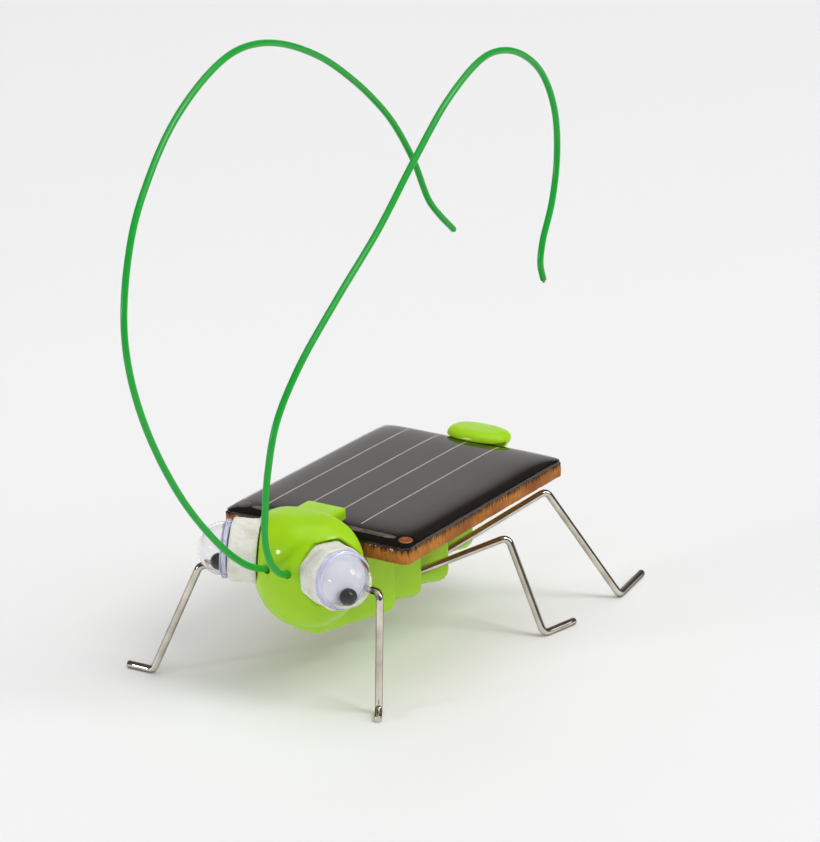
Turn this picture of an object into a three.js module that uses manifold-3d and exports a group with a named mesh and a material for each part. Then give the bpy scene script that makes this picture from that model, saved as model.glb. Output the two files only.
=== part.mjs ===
// Solar-powered grasshopper kit: a moulded green body clipped to a small solar panel, a vibration
// motor in the belly, six bent wire legs, two wire antennae and two googly eyes on foam pads.
// Millimetres, +X towards the head, +Y to the object's left, +Z up, feet on Z = 0.

import * as THREE from 'three';
import { mergeVertices } from 'three/addons/utils/BufferGeometryUtils.js';
import Module from 'manifold-3d';

const wasm = await Module();
wasm.setup();

// ---------- driving dimensions ----------

// middle of the finished object's outline, measured from the middle of the panel
const OUTLINE_MIDDLE_X = 5.69;
const OUTLINE_MIDDLE_Y = -2.79;

// solar panel
const BOARD_LENGTH = 40;
const BOARD_WIDTH = 30;
const BOARD_BOTTOM = 20;
const BOARD_TOP = 22;
const BOARD_CORNER = 1.2;
const RESIN_INSET = 0.2;
const RESIN_EDGE = 0.3;
const RESIN_RISE = 0.9;
const RESIN_SHOULDER_POWER = 8;
const LAYER_GAP = 0.1;
const CELL_THICKNESS = 0.12;
const CELL_HALF_SPAN = 14.35;
const CELL_FRONT = 16.2;
const CELL_REAR = -18.6;
const CELL_STARTS = [-14.35, -10.25, -5.2, -0.15, 4.9, 9.95];
const CELL_SPACING = 0.1;
const LINE_COUNT = 5;
const LINE_WIDTH = 0.3;
const LINE_INSET = 0.2;
const LINE_THICKNESS = 0.06;
const LINE_FRONT = CELL_FRONT - 0.3;
const LINE_REAR = CELL_REAR + 0.2;
const POCKET_CEILING = BOARD_TOP + 0.42;
const POCKET_CLEARANCE = 0.15;
const RIBBON_X = 17.5;
const RIBBON_WIDTH = 1;
const RIBBON_THICKNESS = 0.2;
const RIBBON_HALF_LENGTH = 11.6;
const EYELET_X = 17.3;
const EYELET_Y = 13;
const EYELET_STEM_RADIUS = 0.45;
const EYELET_HEAD_RADIUS = 0.95;
const EYELET_HEAD_TOP = BOARD_TOP + 0.24;
const EYELET_FOOT_RADIUS = 0.85;
const EYELET_FOOT_TOP = BOARD_BOTTOM - 0.3;
const EYELET_FOOT_BOTTOM = BOARD_BOTTOM - 0.45;
const EYELET_HOLE_RADIUS = EYELET_STEM_RADIUS + 0.2;
const TRACE_THICKNESS = 0.1;
const TRACE_GAP = 0.05;
const TRACE_WIDTH = 1.2;
const TRACE_HOLE_RADIUS = EYELET_STEM_RADIUS + 0.09;

// moulded body
const SHELL_TOP = BOARD_BOTTOM - 0.3;
const PANEL_CLEARANCE = 0.35;
const SLOT_END = BOARD_LENGTH / 2 + PANEL_CLEARANCE;
const HEAD_CENTRE = new THREE.Vector3(21.3, 0, 17.3);
const HEAD_RADIUS = 7.4;
const HEAD_HALF_HEIGHT = 8.2;
const HEAD_TOP_POWER = 2.8;
const BROW_WIDENING = 0.2;
const BROW_LOW = 15;
const BROW_HIGH = 21;
const HOOK_HALF_WIDTH = 3.1;
const HOOK_REAR = 16.4;
const HOOK_UNDERSIDE = 23.4;
const HOOK_TOP = 24.9;
const HOOK_BEVEL = 0.4;
const BELLY_CORNER = 2.4;
const BAY_HALF_WIDTH = 3.3;
const BAY_FLOOR = 9.3;
const BAY_FRONT = 15.9;
const BAY_STEP_X = -3.9;
const BAY_OVERLAP = 0.1;
const REAR_BAY_FLOOR = 13.6;
const REAR_BAY_END = -16.5;
const TAIL_UNDERSIDE = 22.98;
const TAIL_TOP = 24.1;
const TAIL_BASE = 12.6;
const TAIL_FRONT = -17.9;
const TAIL_OFFSET_Y = 0.5;
const TAIL_NECK = 0.7;
const TAIL_HALF_WIDTH = 4.9;
const TAIL_REAR = -23.8;
const TAIL_BEVEL = 0.5;

// abdomen cups, front to back: each flares towards its rear rim
const CUPS = [
  { front: 22.0, rear: 8.8, frontHalf: 2.8, rearHalf: 5.5, frontBottom: 8.4, rearBottom: 7.0 },
  { front: 9.3, rear: 2.2, frontHalf: 4.2, rearHalf: 5.5, frontBottom: 8.4, rearBottom: 7.0 },
  { front: 2.7, rear: -4.7, frontHalf: 4.2, rearHalf: 5.5, frontBottom: 8.4, rearBottom: 7.0 },
  { front: -4.2, rear: -11.6, frontHalf: 4.1, rearHalf: 5.2, frontBottom: 10.4, rearBottom: 9.4 },
  { front: -11.1, rear: -18.5, frontHalf: 4.0, rearHalf: 4.8, frontBottom: 12.4, rearBottom: 11.6 },
];

// wire legs: hip at the moulding's surface, knee, ankle and toe tip
const LEG_RADIUS = 0.5;
const LEG_BEND_RADIUS = 1.2;
const LEG_SOCKET_DEPTH = 2.2;
const LEG_SOCKET_RADIUS = 0.66;
const LEG_SOCKET_MOUTH = 1.6;
const SOCKET_END_GAP = 0.3;
const TOE_HEIGHT = LEG_RADIUS;
const FRONT_LEFT_LEG = {
  hip: [19.1, 6.4, 15.3],
  knee: [24.3, 13.5, 17.6],
  ankle: [23.9, 12.5, TOE_HEIGHT],
  toe: [26.5, 14.1, TOE_HEIGHT],
};
const FRONT_RIGHT_LEG = {
  hip: [19.1, -6.3, 14.9],
  knee: [26, -14.5, 16.5],
  ankle: [28.3, -21.5, TOE_HEIGHT],
  toe: [28.4, -25.7, TOE_HEIGHT],
};
const MIDDLE_LEG = {
  hip: [2.2, 4.5, 10.9],
  knee: [-8, 13, 14.3],
  ankle: [-9.2, 17.9, TOE_HEIGHT],
  toe: [-15.2, 19.2, TOE_HEIGHT],
};
const REAR_LEG = {
  hip: [-4.7, 4.5, 11.4],
  knee: [-19, 12.5, 17.4],
  ankle: [-26.7, 19.8, TOE_HEIGHT],
  toe: [-35.4, 18.4, TOE_HEIGHT],
};

// wire antennae: routes laid by hand from the hole in the face to the tip
const ANTENNA_RADIUS = 0.46;
const ANTENNA_CORE_RADIUS = 0.22;
const ANTENNA_BORE_RADIUS = 0.29;
const ANTENNA_CORE_SHOWS = 0.4;
const ANTENNA_CORE_DEPTH = 0.9;
const ANTENNA_HOLE_RADIUS = 0.7;
const ANTENNA_STEPS = 76;
const ANTENNA_HOLE_HEIGHT = 19.2;
const ANTENNA_HOLE_Y = 1.65;
const ANTENNA_ROOT_X = 25.4;
const RIGHT_ANTENNA = [
  [ANTENNA_ROOT_X, -ANTENNA_HOLE_Y, ANTENNA_HOLE_HEIGHT], [28.2, -1.7, 19.3], [30.6, -2.0, 20.2],
  [32.8, -2.4, 21.6], [36.2, -3.3, 25.0], [41.6, -5.0, 32.9], [45.3, -7.1, 42.7], [46.4, -8.7, 51.0],
  [45.4, -9.9, 58.0], [41.1, -11.3, 67.3], [36.1, -12.0, 73.5], [30.3, -12.5, 78.7], [23.6, -12.6, 82.8],
  [17.4, -12.6, 85.0], [12.1, -12.5, 85.3], [5.4, -12.4, 83.9], [-2.5, -12.0, 80.4], [-8.9, -11.6, 76.1],
  [-14.0, -11.2, 71.8], [-17.7, -10.7, 67.7], [-21.2, -9.9, 61.7], [-23.4, -9.0, 55.6], [-25.2, -8.6, 53.2],
  [-28.3, -8.1, 50.1],
];
const LEFT_ANTENNA = [
  [ANTENNA_ROOT_X, ANTENNA_HOLE_Y, ANTENNA_HOLE_HEIGHT], [28.1, 1.7, 19.2], [29.7, 1.7, 19.7],
  [31.2, 1.8, 20.9], [32.6, 1.9, 22.8], [33.5, 2.0, 25.7], [33.6, 2.3, 30.2], [33.1, 2.6, 35.4],
  [31.4, 3.0, 41.5], [26.9, 3.5, 47.6], [18.5, 4.1, 54.8], [9.5, 4.7, 61.8], [1.7, 5.4, 69.4],
  [-6.2, 6.0, 76.2], [-14.0, 6.4, 79.9], [-19.1, 6.6, 79.9], [-24.3, 6.8, 77.9], [-28.4, 7.0, 74.4],
  [-30.9, 7.3, 68.8], [-30.9, 7.6, 62.5], [-28.8, 8.0, 56.4], [-25.6, 8.3, 51.2], [-24.7, 8.5, 48.4],
  [-25.3, 8.6, 46.0],
];

// googly eyes: each eye's own +Z points out of the head
const EYE_X = 26.7;
const EYE_Y = 9.5;
const LEFT_EYE_HEIGHT = 19.3;
const RIGHT_EYE_HEIGHT = 20.1;
const EYE_YAW = THREE.MathUtils.degToRad(27);
const EYE_PITCH = THREE.MathUtils.degToRad(4);
const FLANGE_RADIUS = 4;
const FLANGE_HALF = 0.5;
const DOME_SEAT = FLANGE_HALF - 0.4;
const DOME_RADIUS = 3.7;
const DOME_APEX = 3.8;
const DOME_WALL = 0.3;
const BACKING_RADIUS = 3.35;
const BACKING_TOP = -0.05;
const BACKING_CLEARANCE = 0.2;
const PUPIL_RADIUS = 1.2;
const PUPIL_LOW = 0.2;
const PUPIL_HIGH = 2.1;
const PUPIL_EDGE = 0.45;
const PUPIL_CROWN = 1.1;
const PUPIL_DROP = 2;
const PAD_CORNER_RADIUS = 4.6;
const PAD_BACK = -4.6;
const PAD_FRONT = -0.8;
const EYE_SEAT = -4.85;
const EYE_SEAT_RADIUS = 5;
const EYE_SEAT_DEPTH = 8;

// vibration motor, laid along X; "axial" is measured from the rear face of its can
const MOTOR_REAR_X = 1.6;
const MOTOR_HEIGHT = 12.8;
const CAN_RADIUS = 3;
const CAN_WALL = 0.25;
const CAN_LENGTH = 10.5;
const SHAFT_RADIUS = 0.4;
const CAN_MOUTH_RADIUS = 0.75;
const CAN_FLOOR = 0.4;
const CAP_START = CAN_LENGTH + 0.15;
const CAP_THICKNESS = 1.3;
const CAP_POCKET_DEPTH = 0.9;
const CAP_POCKET_RADIUS = 0.7;
const MAGNET = { inner: 2.05, outer: 2.55, low: 2, high: 9 };
const ARMATURE = { outer: 1.75, low: 2.5, high: 8 };
const COMMUTATOR = { outer: 1.1, low: 8.4, high: 9.9 };
const SHAFT_START = -5.1;
const SHAFT_END = 11.2;
const ROTOR_BORE = 0.52;
const WEIGHT_RADIUS = 2.6;
const WEIGHT_HUB_RADIUS = 1;
const WEIGHT_START = -4.8;
const WEIGHT_LENGTH = 3.6;
const TAPE_REAR = 1;
const TAPE_FRONT = 9.5;
const TAPE_HALF_WIDTH = 2.2;
const TAPE_THICKNESS = 0.3;
const LEAD_RADIUS = 0.32;
const LEAD_BEND_RADIUS = 0.6;
const LEAD_START_X = MOTOR_REAR_X + CAN_LENGTH + 1.65;
const LEAD_BEND_X = LEAD_START_X + 1.3;
const LEAD_RISE = 17.2;
const LEAD_TOP = 18.9;
const TERMINAL_Y = 1.6;
const SOLDER_X = 14.1;
const SOLDER_RADIUS = 0.85;
const SOLDER_DROP = 0.6;

// ---------- materials ----------

function paint(color, roughness, metalness = 0) {
  return new THREE.MeshStandardMaterial({ color, roughness, metalness });
}

function clearPaint(color, roughness, opacity) {
  return new THREE.MeshStandardMaterial({ color, roughness, opacity, transparent: true });
}

const LIME = paint(0x9fd42c, 0.35);
const PHENOLIC = paint(0xa8662e, 0.7);
const CLEAR_RESIN = clearPaint(0x2a2220, 0.08, 0.35);
const SILICON = paint(0x3a302e, 0.3);
const SILVER = paint(0xcabfae, 0.4, 0.8);
const RIBBON = paint(0x6f6760, 0.45, 0.7);
const COPPER = paint(0xb06438, 0.35, 1);
const NICKEL = paint(0xc9c4bb, 0.2, 1);
const STEEL = paint(0x9a9c9e, 0.3, 1);
const FERRITE = paint(0x3c3c3e, 0.6);
const WINDING = paint(0x9c4a24, 0.5, 0.6);
const NYLON = paint(0xe9e6da, 0.55);
const FOAM = paint(0xe6e2d8, 0.95);
const WHITE = paint(0xf2f2f4, 0.5);
const BLACK = paint(0x0b0b0c, 0.25);
const CLEAR = clearPaint(0xf4f6fb, 0.05, 0.3);
const GREEN_WIRE = paint(0x1fae45, 0.35);
const RED_WIRE = paint(0xc02020, 0.45);
const BLUE_WIRE = paint(0x1c3f9e, 0.45);

// ---------- solids and booleans ----------

const AXIS_X = new THREE.Vector3(1, 0, 0);
const AXIS_Y = new THREE.Vector3(0, 1, 0);
const AXIS_Z = new THREE.Vector3(0, 0, 1);

function weld(geometry) {
  const bare = geometry.clone();
  bare.deleteAttribute('normal');
  bare.deleteAttribute('uv');
  return mergeVertices(bare, 1e-4);
}

function toSolid(geometry) {
  const welded = weld(geometry);
  const vertProperties = new Float32Array(welded.attributes.position.array);
  const triVerts = new Uint32Array(welded.index.array);
  return new wasm.Manifold(new wasm.Mesh({ numProp: 3, vertProperties, triVerts }));
}

function toGeometry(solid) {
  const mesh = solid.getMesh();
  const geometry = new THREE.BufferGeometry();
  geometry.setAttribute('position', new THREE.BufferAttribute(mesh.vertProperties, 3));
  geometry.setIndex(new THREE.BufferAttribute(mesh.triVerts, 1));
  return geometry;
}

function cut(geometry, tools) {
  let solid = toSolid(geometry);
  for (const tool of tools) {
    solid = solid.subtract(toSolid(tool));
  }
  return toGeometry(solid);
}

function join(geometries) {
  let solid = toSolid(geometries[0]);
  for (const geometry of geometries.slice(1)) {
    solid = solid.add(toSolid(geometry));
  }
  return toGeometry(solid);
}

function box(x0, x1, y0, y1, z0, z1) {
  const geometry = new THREE.BoxGeometry(x1 - x0, y1 - y0, z1 - z0);
  return geometry.translate((x0 + x1) / 2, (y0 + y1) / 2, (z0 + z1) / 2);
}

// a rod from one point to another
function rod(start, end, radius, sides = 12) {
  const from = new THREE.Vector3(...start);
  const run = new THREE.Vector3(...end).sub(from);
  const geometry = new THREE.CylinderGeometry(radius, radius, run.length(), sides);
  geometry.translate(0, run.length() / 2, 0);
  geometry.applyQuaternion(new THREE.Quaternion().setFromUnitVectors(AXIS_Y, run.clone().normalize()));
  return geometry.translate(from.x, from.y, from.z);
}

// a turned piece; the profile lists [radius, height] and the turning axis becomes +Z
function turned(profile, sides) {
  const points = profile.map(([radius, height]) => new THREE.Vector2(radius, height));
  return faceOut(new THREE.LatheGeometry(points, sides).rotateX(Math.PI / 2));
}

// a ring or sleeve: its profile closes on itself
function sleeve(innerRadius, outerRadius, low, high, sides) {
  const corners = [[innerRadius, low], [outerRadius, low], [outerRadius, high], [innerRadius, high]];
  return turned([...corners, corners[0]], sides);
}

function signedVolume(geometry) {
  const position = geometry.attributes.position;
  const corner = (n) => new THREE.Vector3().fromBufferAttribute(position, geometry.index.getX(n));
  let volume = 0;
  for (let n = 0; n < geometry.index.count; n += 3) {
    volume += corner(n).dot(corner(n + 1).cross(corner(n + 2))) / 6;
  }
  return volume;
}

function faceOut(geometry) {
  if (signedVolume(geometry) > 0) {
    return geometry;
  }
  const index = geometry.index.array;
  for (let n = 0; n < index.length; n += 3) {
    [index[n], index[n + 1]] = [index[n + 1], index[n]];
  }
  return geometry;
}

function circleShape(radius, sides) {
  const points = [];
  for (let n = 0; n < sides; n += 1) {
    const angle = (2 * Math.PI * n) / sides;
    points.push(new THREE.Vector2(radius * Math.cos(angle), radius * Math.sin(angle)));
  }
  return new THREE.Shape(points);
}

// ---------- wires ----------

// a path walked in uneven steps, so that straight runs are long and bends are fine
class SteppedCurve extends THREE.Curve {
  constructor(path, stations) {
    super();
    this.path = path;
    this.stations = stations;
  }

  stationAt(u) {
    return this.stations[Math.round(u * (this.stations.length - 1))];
  }

  getPointAt(u, target) {
    return this.path.getPoint(this.stationAt(u), target);
  }

  getTangentAt(u, target) {
    return this.path.getTangent(this.stationAt(u), target);
  }
}

function bentPath(points, bendRadius) {
  const path = new THREE.CurvePath();
  let start = points[0];
  for (let n = 1; n < points.length - 1; n += 1) {
    const before = points[n - 1].clone().sub(points[n]).normalize();
    const after = points[n + 1].clone().sub(points[n]).normalize();
    const setback = bendRadius / Math.tan(before.angleTo(after) / 2);
    const bendStart = points[n].clone().addScaledVector(before, setback);
    const bendEnd = points[n].clone().addScaledVector(after, setback);
    path.add(new THREE.LineCurve3(start, bendStart));
    path.add(new THREE.QuadraticBezierCurve3(bendStart, points[n], bendEnd));
    start = bendEnd;
  }
  path.add(new THREE.LineCurve3(start, points[points.length - 1]));
  return path;
}

function bendStations(path, stepsPerBend) {
  const lengths = path.getCurveLengths();
  const total = lengths[lengths.length - 1];
  const stations = [0];
  path.curves.forEach((curve, n) => {
    const before = n === 0 ? 0 : lengths[n - 1];
    const steps = curve.isLineCurve3 ? 1 : stepsPerBend;
    for (let step = 1; step <= steps; step += 1) {
      stations.push((before + ((lengths[n] - before) * step) / steps) / total);
    }
  });
  return stations;
}

function bentWire(points, radius, bendRadius) {
  const path = bentPath(points.map((point) => new THREE.Vector3(...point)), bendRadius);
  const extrudePath = new SteppedCurve(path, bendStations(path, 5));
  const steps = extrudePath.stations.length - 1;
  return new THREE.ExtrudeGeometry(circleShape(radius, 8), { steps, extrudePath });
}

// ---------- solar panel ----------

function roundedRectangle(length, width, corner) {
  const shape = new THREE.Shape();
  const x = length / 2 - corner;
  const y = width / 2 - corner;
  shape.absarc(x, y, corner, 0, Math.PI / 2, false);
  shape.absarc(-x, y, corner, Math.PI / 2, Math.PI, false);
  shape.absarc(-x, -y, corner, Math.PI, 1.5 * Math.PI, false);
  shape.absarc(x, -y, corner, 1.5 * Math.PI, 2 * Math.PI, false);
  return shape;
}

function eyeletRods(low, high, radius) {
  return [-EYELET_Y, EYELET_Y].map((y) => rod([EYELET_X, y, low], [EYELET_X, y, high], radius));
}

function circuitBoard() {
  const shape = roundedRectangle(BOARD_LENGTH, BOARD_WIDTH, BOARD_CORNER);
  const depth = BOARD_TOP - BOARD_BOTTOM;
  const slab = new THREE.ExtrudeGeometry(shape, { depth, bevelEnabled: false, curveSegments: 4 });
  slab.translate(0, 0, BOARD_BOTTOM);
  return cut(slab, eyeletRods(BOARD_BOTTOM - 1, BOARD_TOP + 1, EYELET_HOLE_RADIUS));
}

// the resin swells from a thin edge to a nearly level middle
function resinHeight(x, y) {
  const along = 1 - Math.abs((2 * x) / BOARD_LENGTH) ** RESIN_SHOULDER_POWER;
  const across = 1 - Math.abs((2 * y) / BOARD_WIDTH) ** RESIN_SHOULDER_POWER;
  return BOARD_TOP + RESIN_EDGE + RESIN_RISE * along * across;
}

function crowdedToEdge(value, half) {
  return half * Math.sin((Math.PI / 2) * (value / half));
}

function resinCover() {
  const length = BOARD_LENGTH - 2 * RESIN_INSET;
  const width = BOARD_WIDTH - 2 * RESIN_INSET;
  const underside = BOARD_TOP + LAYER_GAP;
  const block = new THREE.BoxGeometry(length, width, 2, 14, 12, 1);
  const position = block.attributes.position;
  for (let n = 0; n < position.count; n += 1) {
    const x = crowdedToEdge(position.getX(n), length / 2);
    const y = crowdedToEdge(position.getY(n), width / 2);
    const z = position.getZ(n) > 0 ? resinHeight(x, y) : underside;
    position.setXYZ(n, x, y, z);
  }
  const low = underside - 1;
  const gap = POCKET_CLEARANCE;
  const cellSide = CELL_HALF_SPAN + gap;
  const cellRoom = box(CELL_REAR - gap, CELL_FRONT + gap, -cellSide, cellSide, low, POCKET_CEILING);
  const ribbonFront = RIBBON_X + RIBBON_WIDTH / 2 + gap;
  const ribbonSide = RIBBON_HALF_LENGTH + gap;
  const ribbonRoom = box(CELL_FRONT, ribbonFront, -ribbonSide, ribbonSide, low, POCKET_CEILING);
  const eyeletRooms = eyeletRods(low, EYELET_HEAD_TOP + 0.1, EYELET_HEAD_RADIUS + gap);
  return cut(block, [cellRoom, ribbonRoom, ...eyeletRooms]);
}

function cellStrip(index) {
  const start = CELL_STARTS[index];
  const next = index + 1 < CELL_STARTS.length ? CELL_STARTS[index + 1] - CELL_SPACING : CELL_HALF_SPAN;
  const low = BOARD_TOP + LAYER_GAP;
  return box(CELL_REAR, CELL_FRONT, start, next, low, low + CELL_THICKNESS);
}

function silverLine(index) {
  const start = CELL_STARTS[index] + LINE_INSET - LINE_WIDTH / 2;
  const low = BOARD_TOP + LAYER_GAP + CELL_THICKNESS + LINE_THICKNESS;
  return box(LINE_REAR, LINE_FRONT, start, start + LINE_WIDTH, low, low + LINE_THICKNESS);
}

function busRibbon() {
  const low = BOARD_TOP + LAYER_GAP;
  const half = RIBBON_WIDTH / 2;
  const high = low + RIBBON_THICKNESS;
  return box(RIBBON_X - half, RIBBON_X + half, -RIBBON_HALF_LENGTH, RIBBON_HALF_LENGTH, low, high);
}

function copperEyelet(side) {
  const stem = EYELET_STEM_RADIUS;
  const headLow = BOARD_TOP + LAYER_GAP;
  const profile = [
    [0, EYELET_HEAD_TOP], [EYELET_HEAD_RADIUS, EYELET_HEAD_TOP], [EYELET_HEAD_RADIUS, headLow],
    [stem, headLow], [stem, EYELET_FOOT_TOP], [EYELET_FOOT_RADIUS, EYELET_FOOT_TOP],
    [EYELET_FOOT_RADIUS, EYELET_FOOT_BOTTOM], [0, EYELET_FOOT_BOTTOM],
  ];
  return turned(profile, 14).translate(EYELET_X, side * EYELET_Y, 0);
}

// a flat copper track under the board, from the eyelet to the solder joint over the motor bay
function copperTrace(side) {
  const half = TRACE_WIDTH / 2;
  const shape = new THREE.Shape();
  const outerY = EYELET_Y + half;
  const innerY = TERMINAL_Y - half;
  shape.moveTo(SOLDER_X - half, innerY);
  shape.lineTo(EYELET_X + half, innerY);
  shape.lineTo(EYELET_X + half, outerY);
  shape.lineTo(EYELET_X - half, outerY);
  shape.lineTo(EYELET_X - half, innerY + TRACE_WIDTH);
  shape.lineTo(SOLDER_X - half, innerY + TRACE_WIDTH);
  const plate = new THREE.ExtrudeGeometry(shape, { depth: TRACE_THICKNESS, bevelEnabled: false });
  plate.translate(0, 0, BOARD_BOTTOM - TRACE_GAP - TRACE_THICKNESS);
  const trace = cut(plate, eyeletRods(BOARD_BOTTOM - 1, BOARD_BOTTOM + 1, TRACE_HOLE_RADIUS));
  return side > 0 ? trace : mirrored(trace);
}

function mirrored(geometry) {
  const flipped = weld(geometry).scale(1, -1, 1);
  return faceOut(flipped);
}

// ---------- moulded body ----------

function cupSection(half, bottom) {
  const shape = new THREE.Shape();
  const corner = BELLY_CORNER;
  shape.moveTo(half, SHELL_TOP);
  shape.lineTo(-half, SHELL_TOP);
  shape.absarc(-half + corner, bottom + corner, corner, Math.PI, 1.5 * Math.PI, false);
  shape.absarc(half - corner, bottom + corner, corner, 1.5 * Math.PI, 2 * Math.PI, false);
  return shape;
}

// one abdomen cup, extruded along X from its rear rim and narrowed towards its front
function abdomenCup(cup) {
  const length = cup.front - cup.rear;
  const section = cupSection(cup.rearHalf, cup.rearBottom);
  const options = { depth: length, bevelEnabled: false, curveSegments: 6 };
  const geometry = new THREE.ExtrudeGeometry(section, options);
  geometry.applyMatrix4(new THREE.Matrix4().makeBasis(AXIS_Y, AXIS_Z, AXIS_X));
  geometry.translate(cup.rear, 0, 0);
  const position = geometry.attributes.position;
  const narrowing = cup.frontHalf / cup.rearHalf;
  const shallowing = (SHELL_TOP - cup.frontBottom) / (SHELL_TOP - cup.rearBottom);
  for (let n = 0; n < position.count; n += 1) {
    const t = (position.getX(n) - cup.rear) / length;
    const y = position.getY(n) * THREE.MathUtils.lerp(1, narrowing, t);
    const drop = (SHELL_TOP - position.getZ(n)) * THREE.MathUtils.lerp(1, shallowing, t);
    position.setY(n, y);
    position.setZ(n, SHELL_TOP - drop);
  }
  return geometry;
}

// an egg-like head: its upper half is squarer and wider, and stops short of the panel
function headBall() {
  const ball = new THREE.SphereGeometry(1, 28, 18).rotateX(Math.PI / 2);
  const position = ball.attributes.position;
  for (let n = 0; n < position.count; n += 1) {
    const up = position.getZ(n);
    const round = Math.sqrt(Math.max(1e-9, 1 - up * up));
    const square = Math.max(0, 1 - Math.abs(up) ** HEAD_TOP_POWER) ** (1 / HEAD_TOP_POWER);
    const radius = HEAD_RADIUS * (up > 0 ? square / round : 1);
    const z = HEAD_CENTRE.z + HEAD_HALF_HEIGHT * up;
    const widening = 1 + BROW_WIDENING * THREE.MathUtils.smoothstep(z, BROW_LOW, BROW_HIGH);
    position.setXYZ(n, HEAD_CENTRE.x + radius * position.getX(n), radius * widening * position.getY(n), z);
  }
  return cut(ball, [box(0, SLOT_END, -BOARD_WIDTH, BOARD_WIDTH, SHELL_TOP, 2 * SHELL_TOP)]);
}

function hookTab() {
  const half = HOOK_HALF_WIDTH - HOOK_BEVEL;
  const rear = HOOK_REAR + HOOK_BEVEL;
  const shape = new THREE.Shape();
  shape.moveTo(rear, -half);
  shape.lineTo(HEAD_CENTRE.x, -half);
  shape.lineTo(HEAD_CENTRE.x, half);
  shape.lineTo(rear, half);
  const options = {
    depth: HOOK_TOP - HOOK_BEVEL - SHELL_TOP,
    bevelEnabled: true,
    bevelThickness: HOOK_BEVEL,
    bevelSize: HOOK_BEVEL,
    bevelSegments: 2,
  };
  const geometry = new THREE.ExtrudeGeometry(shape, options);
  return geometry.translate(0, 0, SHELL_TOP);
}

// a D-shaped column behind the panel whose rounded top reaches over its rear edge
function tailClip() {
  const bevel = TAIL_BEVEL;
  const half = TAIL_HALF_WIDTH - bevel;
  const front = TAIL_FRONT - bevel;
  const rear = TAIL_REAR + bevel;
  const shape = new THREE.Shape();
  shape.moveTo(front, half);
  shape.bezierCurveTo(rear + bevel, half, rear, half - 4 * bevel, rear, 0);
  shape.bezierCurveTo(rear, 4 * bevel - half, rear + bevel, -half, front, -half);
  const options = {
    depth: TAIL_TOP - TAIL_BASE - 2 * bevel,
    steps: 8,
    bevelEnabled: true,
    bevelThickness: bevel,
    bevelSize: bevel,
    bevelSegments: 3,
    curveSegments: 7,
  };
  const geometry = new THREE.ExtrudeGeometry(shape, options).translate(0, 0, TAIL_BASE + bevel);
  const position = geometry.attributes.position;
  for (let n = 0; n < position.count; n += 1) {
    const rise = THREE.MathUtils.clamp((position.getZ(n) - TAIL_BASE) / (SHELL_TOP - TAIL_BASE), 0, 1);
    const neck = THREE.MathUtils.lerp(TAIL_NECK, 1, rise);
    position.setX(n, TAIL_FRONT + (position.getX(n) - TAIL_FRONT) * neck);
    position.setY(n, position.getY(n) * neck + TAIL_OFFSET_Y * rise);
  }
  return geometry;
}

function panelSlot() {
  const side = BOARD_WIDTH / 2 + PANEL_CLEARANCE;
  const rearSlot = box(-SLOT_END, PANEL_CLEARANCE, -side, side, SHELL_TOP, TAIL_UNDERSIDE);
  const frontSlot = box(0, SLOT_END, -side, side, SHELL_TOP, HOOK_UNDERSIDE);
  return join([rearSlot, frontSlot]);
}

function eyeSeat(side) {
  const height = (LEFT_EYE_HEIGHT + RIGHT_EYE_HEIGHT) / 2;
  const seat = new THREE.CylinderGeometry(EYE_SEAT_RADIUS, EYE_SEAT_RADIUS, EYE_SEAT_DEPTH, 24);
  seat.rotateX(Math.PI / 2).translate(0, 0, EYE_SEAT + EYE_SEAT_DEPTH / 2);
  return seat.applyMatrix4(eyeFrame(side, height));
}

function legSocket(leg) {
  const [hip, knee] = [leg.hip, leg.knee].map((point) => new THREE.Vector3(...point));
  const outward = knee.clone().sub(hip).normalize();
  const deep = hip.clone().addScaledVector(outward, -LEG_SOCKET_DEPTH - SOCKET_END_GAP);
  const clear = hip.clone().addScaledVector(outward, LEG_SOCKET_MOUTH);
  return rod(deep.toArray(), clear.toArray(), LEG_SOCKET_RADIUS, 10);
}

function antennaHole(side) {
  const start = [ANTENNA_ROOT_X - SOCKET_END_GAP, side * ANTENNA_HOLE_Y, ANTENNA_HOLE_HEIGHT];
  const end = [HEAD_CENTRE.x + HEAD_RADIUS + 1, side * ANTENNA_HOLE_Y, ANTENNA_HOLE_HEIGHT];
  return rod(start, end, ANTENNA_HOLE_RADIUS, 12);
}

function bodyShell() {
  const solid = join([headBall(), hookTab(), ...CUPS.map(abdomenCup), tailClip()]);
  const half = BAY_HALF_WIDTH;
  const mouth = SHELL_TOP + BAY_OVERLAP;
  const frontBay = box(BAY_STEP_X, BAY_FRONT, -half, half, BAY_FLOOR, mouth);
  const rearBay = box(REAR_BAY_END, BAY_STEP_X + BAY_OVERLAP, -half, half, REAR_BAY_FLOOR, mouth);
  const sockets = Object.values(LEGS).map(legSocket);
  const holes = [-1, 1].flatMap((side) => [eyeSeat(side), antennaHole(side)]);
  return cut(solid, [panelSlot(), join([frontBay, rearBay]), ...sockets, ...holes]);
}

// ---------- legs and antennae ----------

function mirroredLeg(leg) {
  return Object.fromEntries(Object.entries(leg).map(([key, [x, y, z]]) => [key, [x, -y, z]]));
}

const LEGS = {
  front_left: FRONT_LEFT_LEG,
  front_right: FRONT_RIGHT_LEG,
  middle_left: MIDDLE_LEG,
  middle_right: mirroredLeg(MIDDLE_LEG),
  rear_left: REAR_LEG,
  rear_right: mirroredLeg(REAR_LEG),
};

function wireLeg(leg) {
  const hip = new THREE.Vector3(...leg.hip);
  const inward = hip.clone().sub(new THREE.Vector3(...leg.knee)).normalize();
  const root = hip.addScaledVector(inward, LEG_SOCKET_DEPTH);
  return bentWire([root.toArray(), leg.knee, leg.ankle, leg.toe], LEG_RADIUS, LEG_BEND_RADIUS);
}

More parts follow.
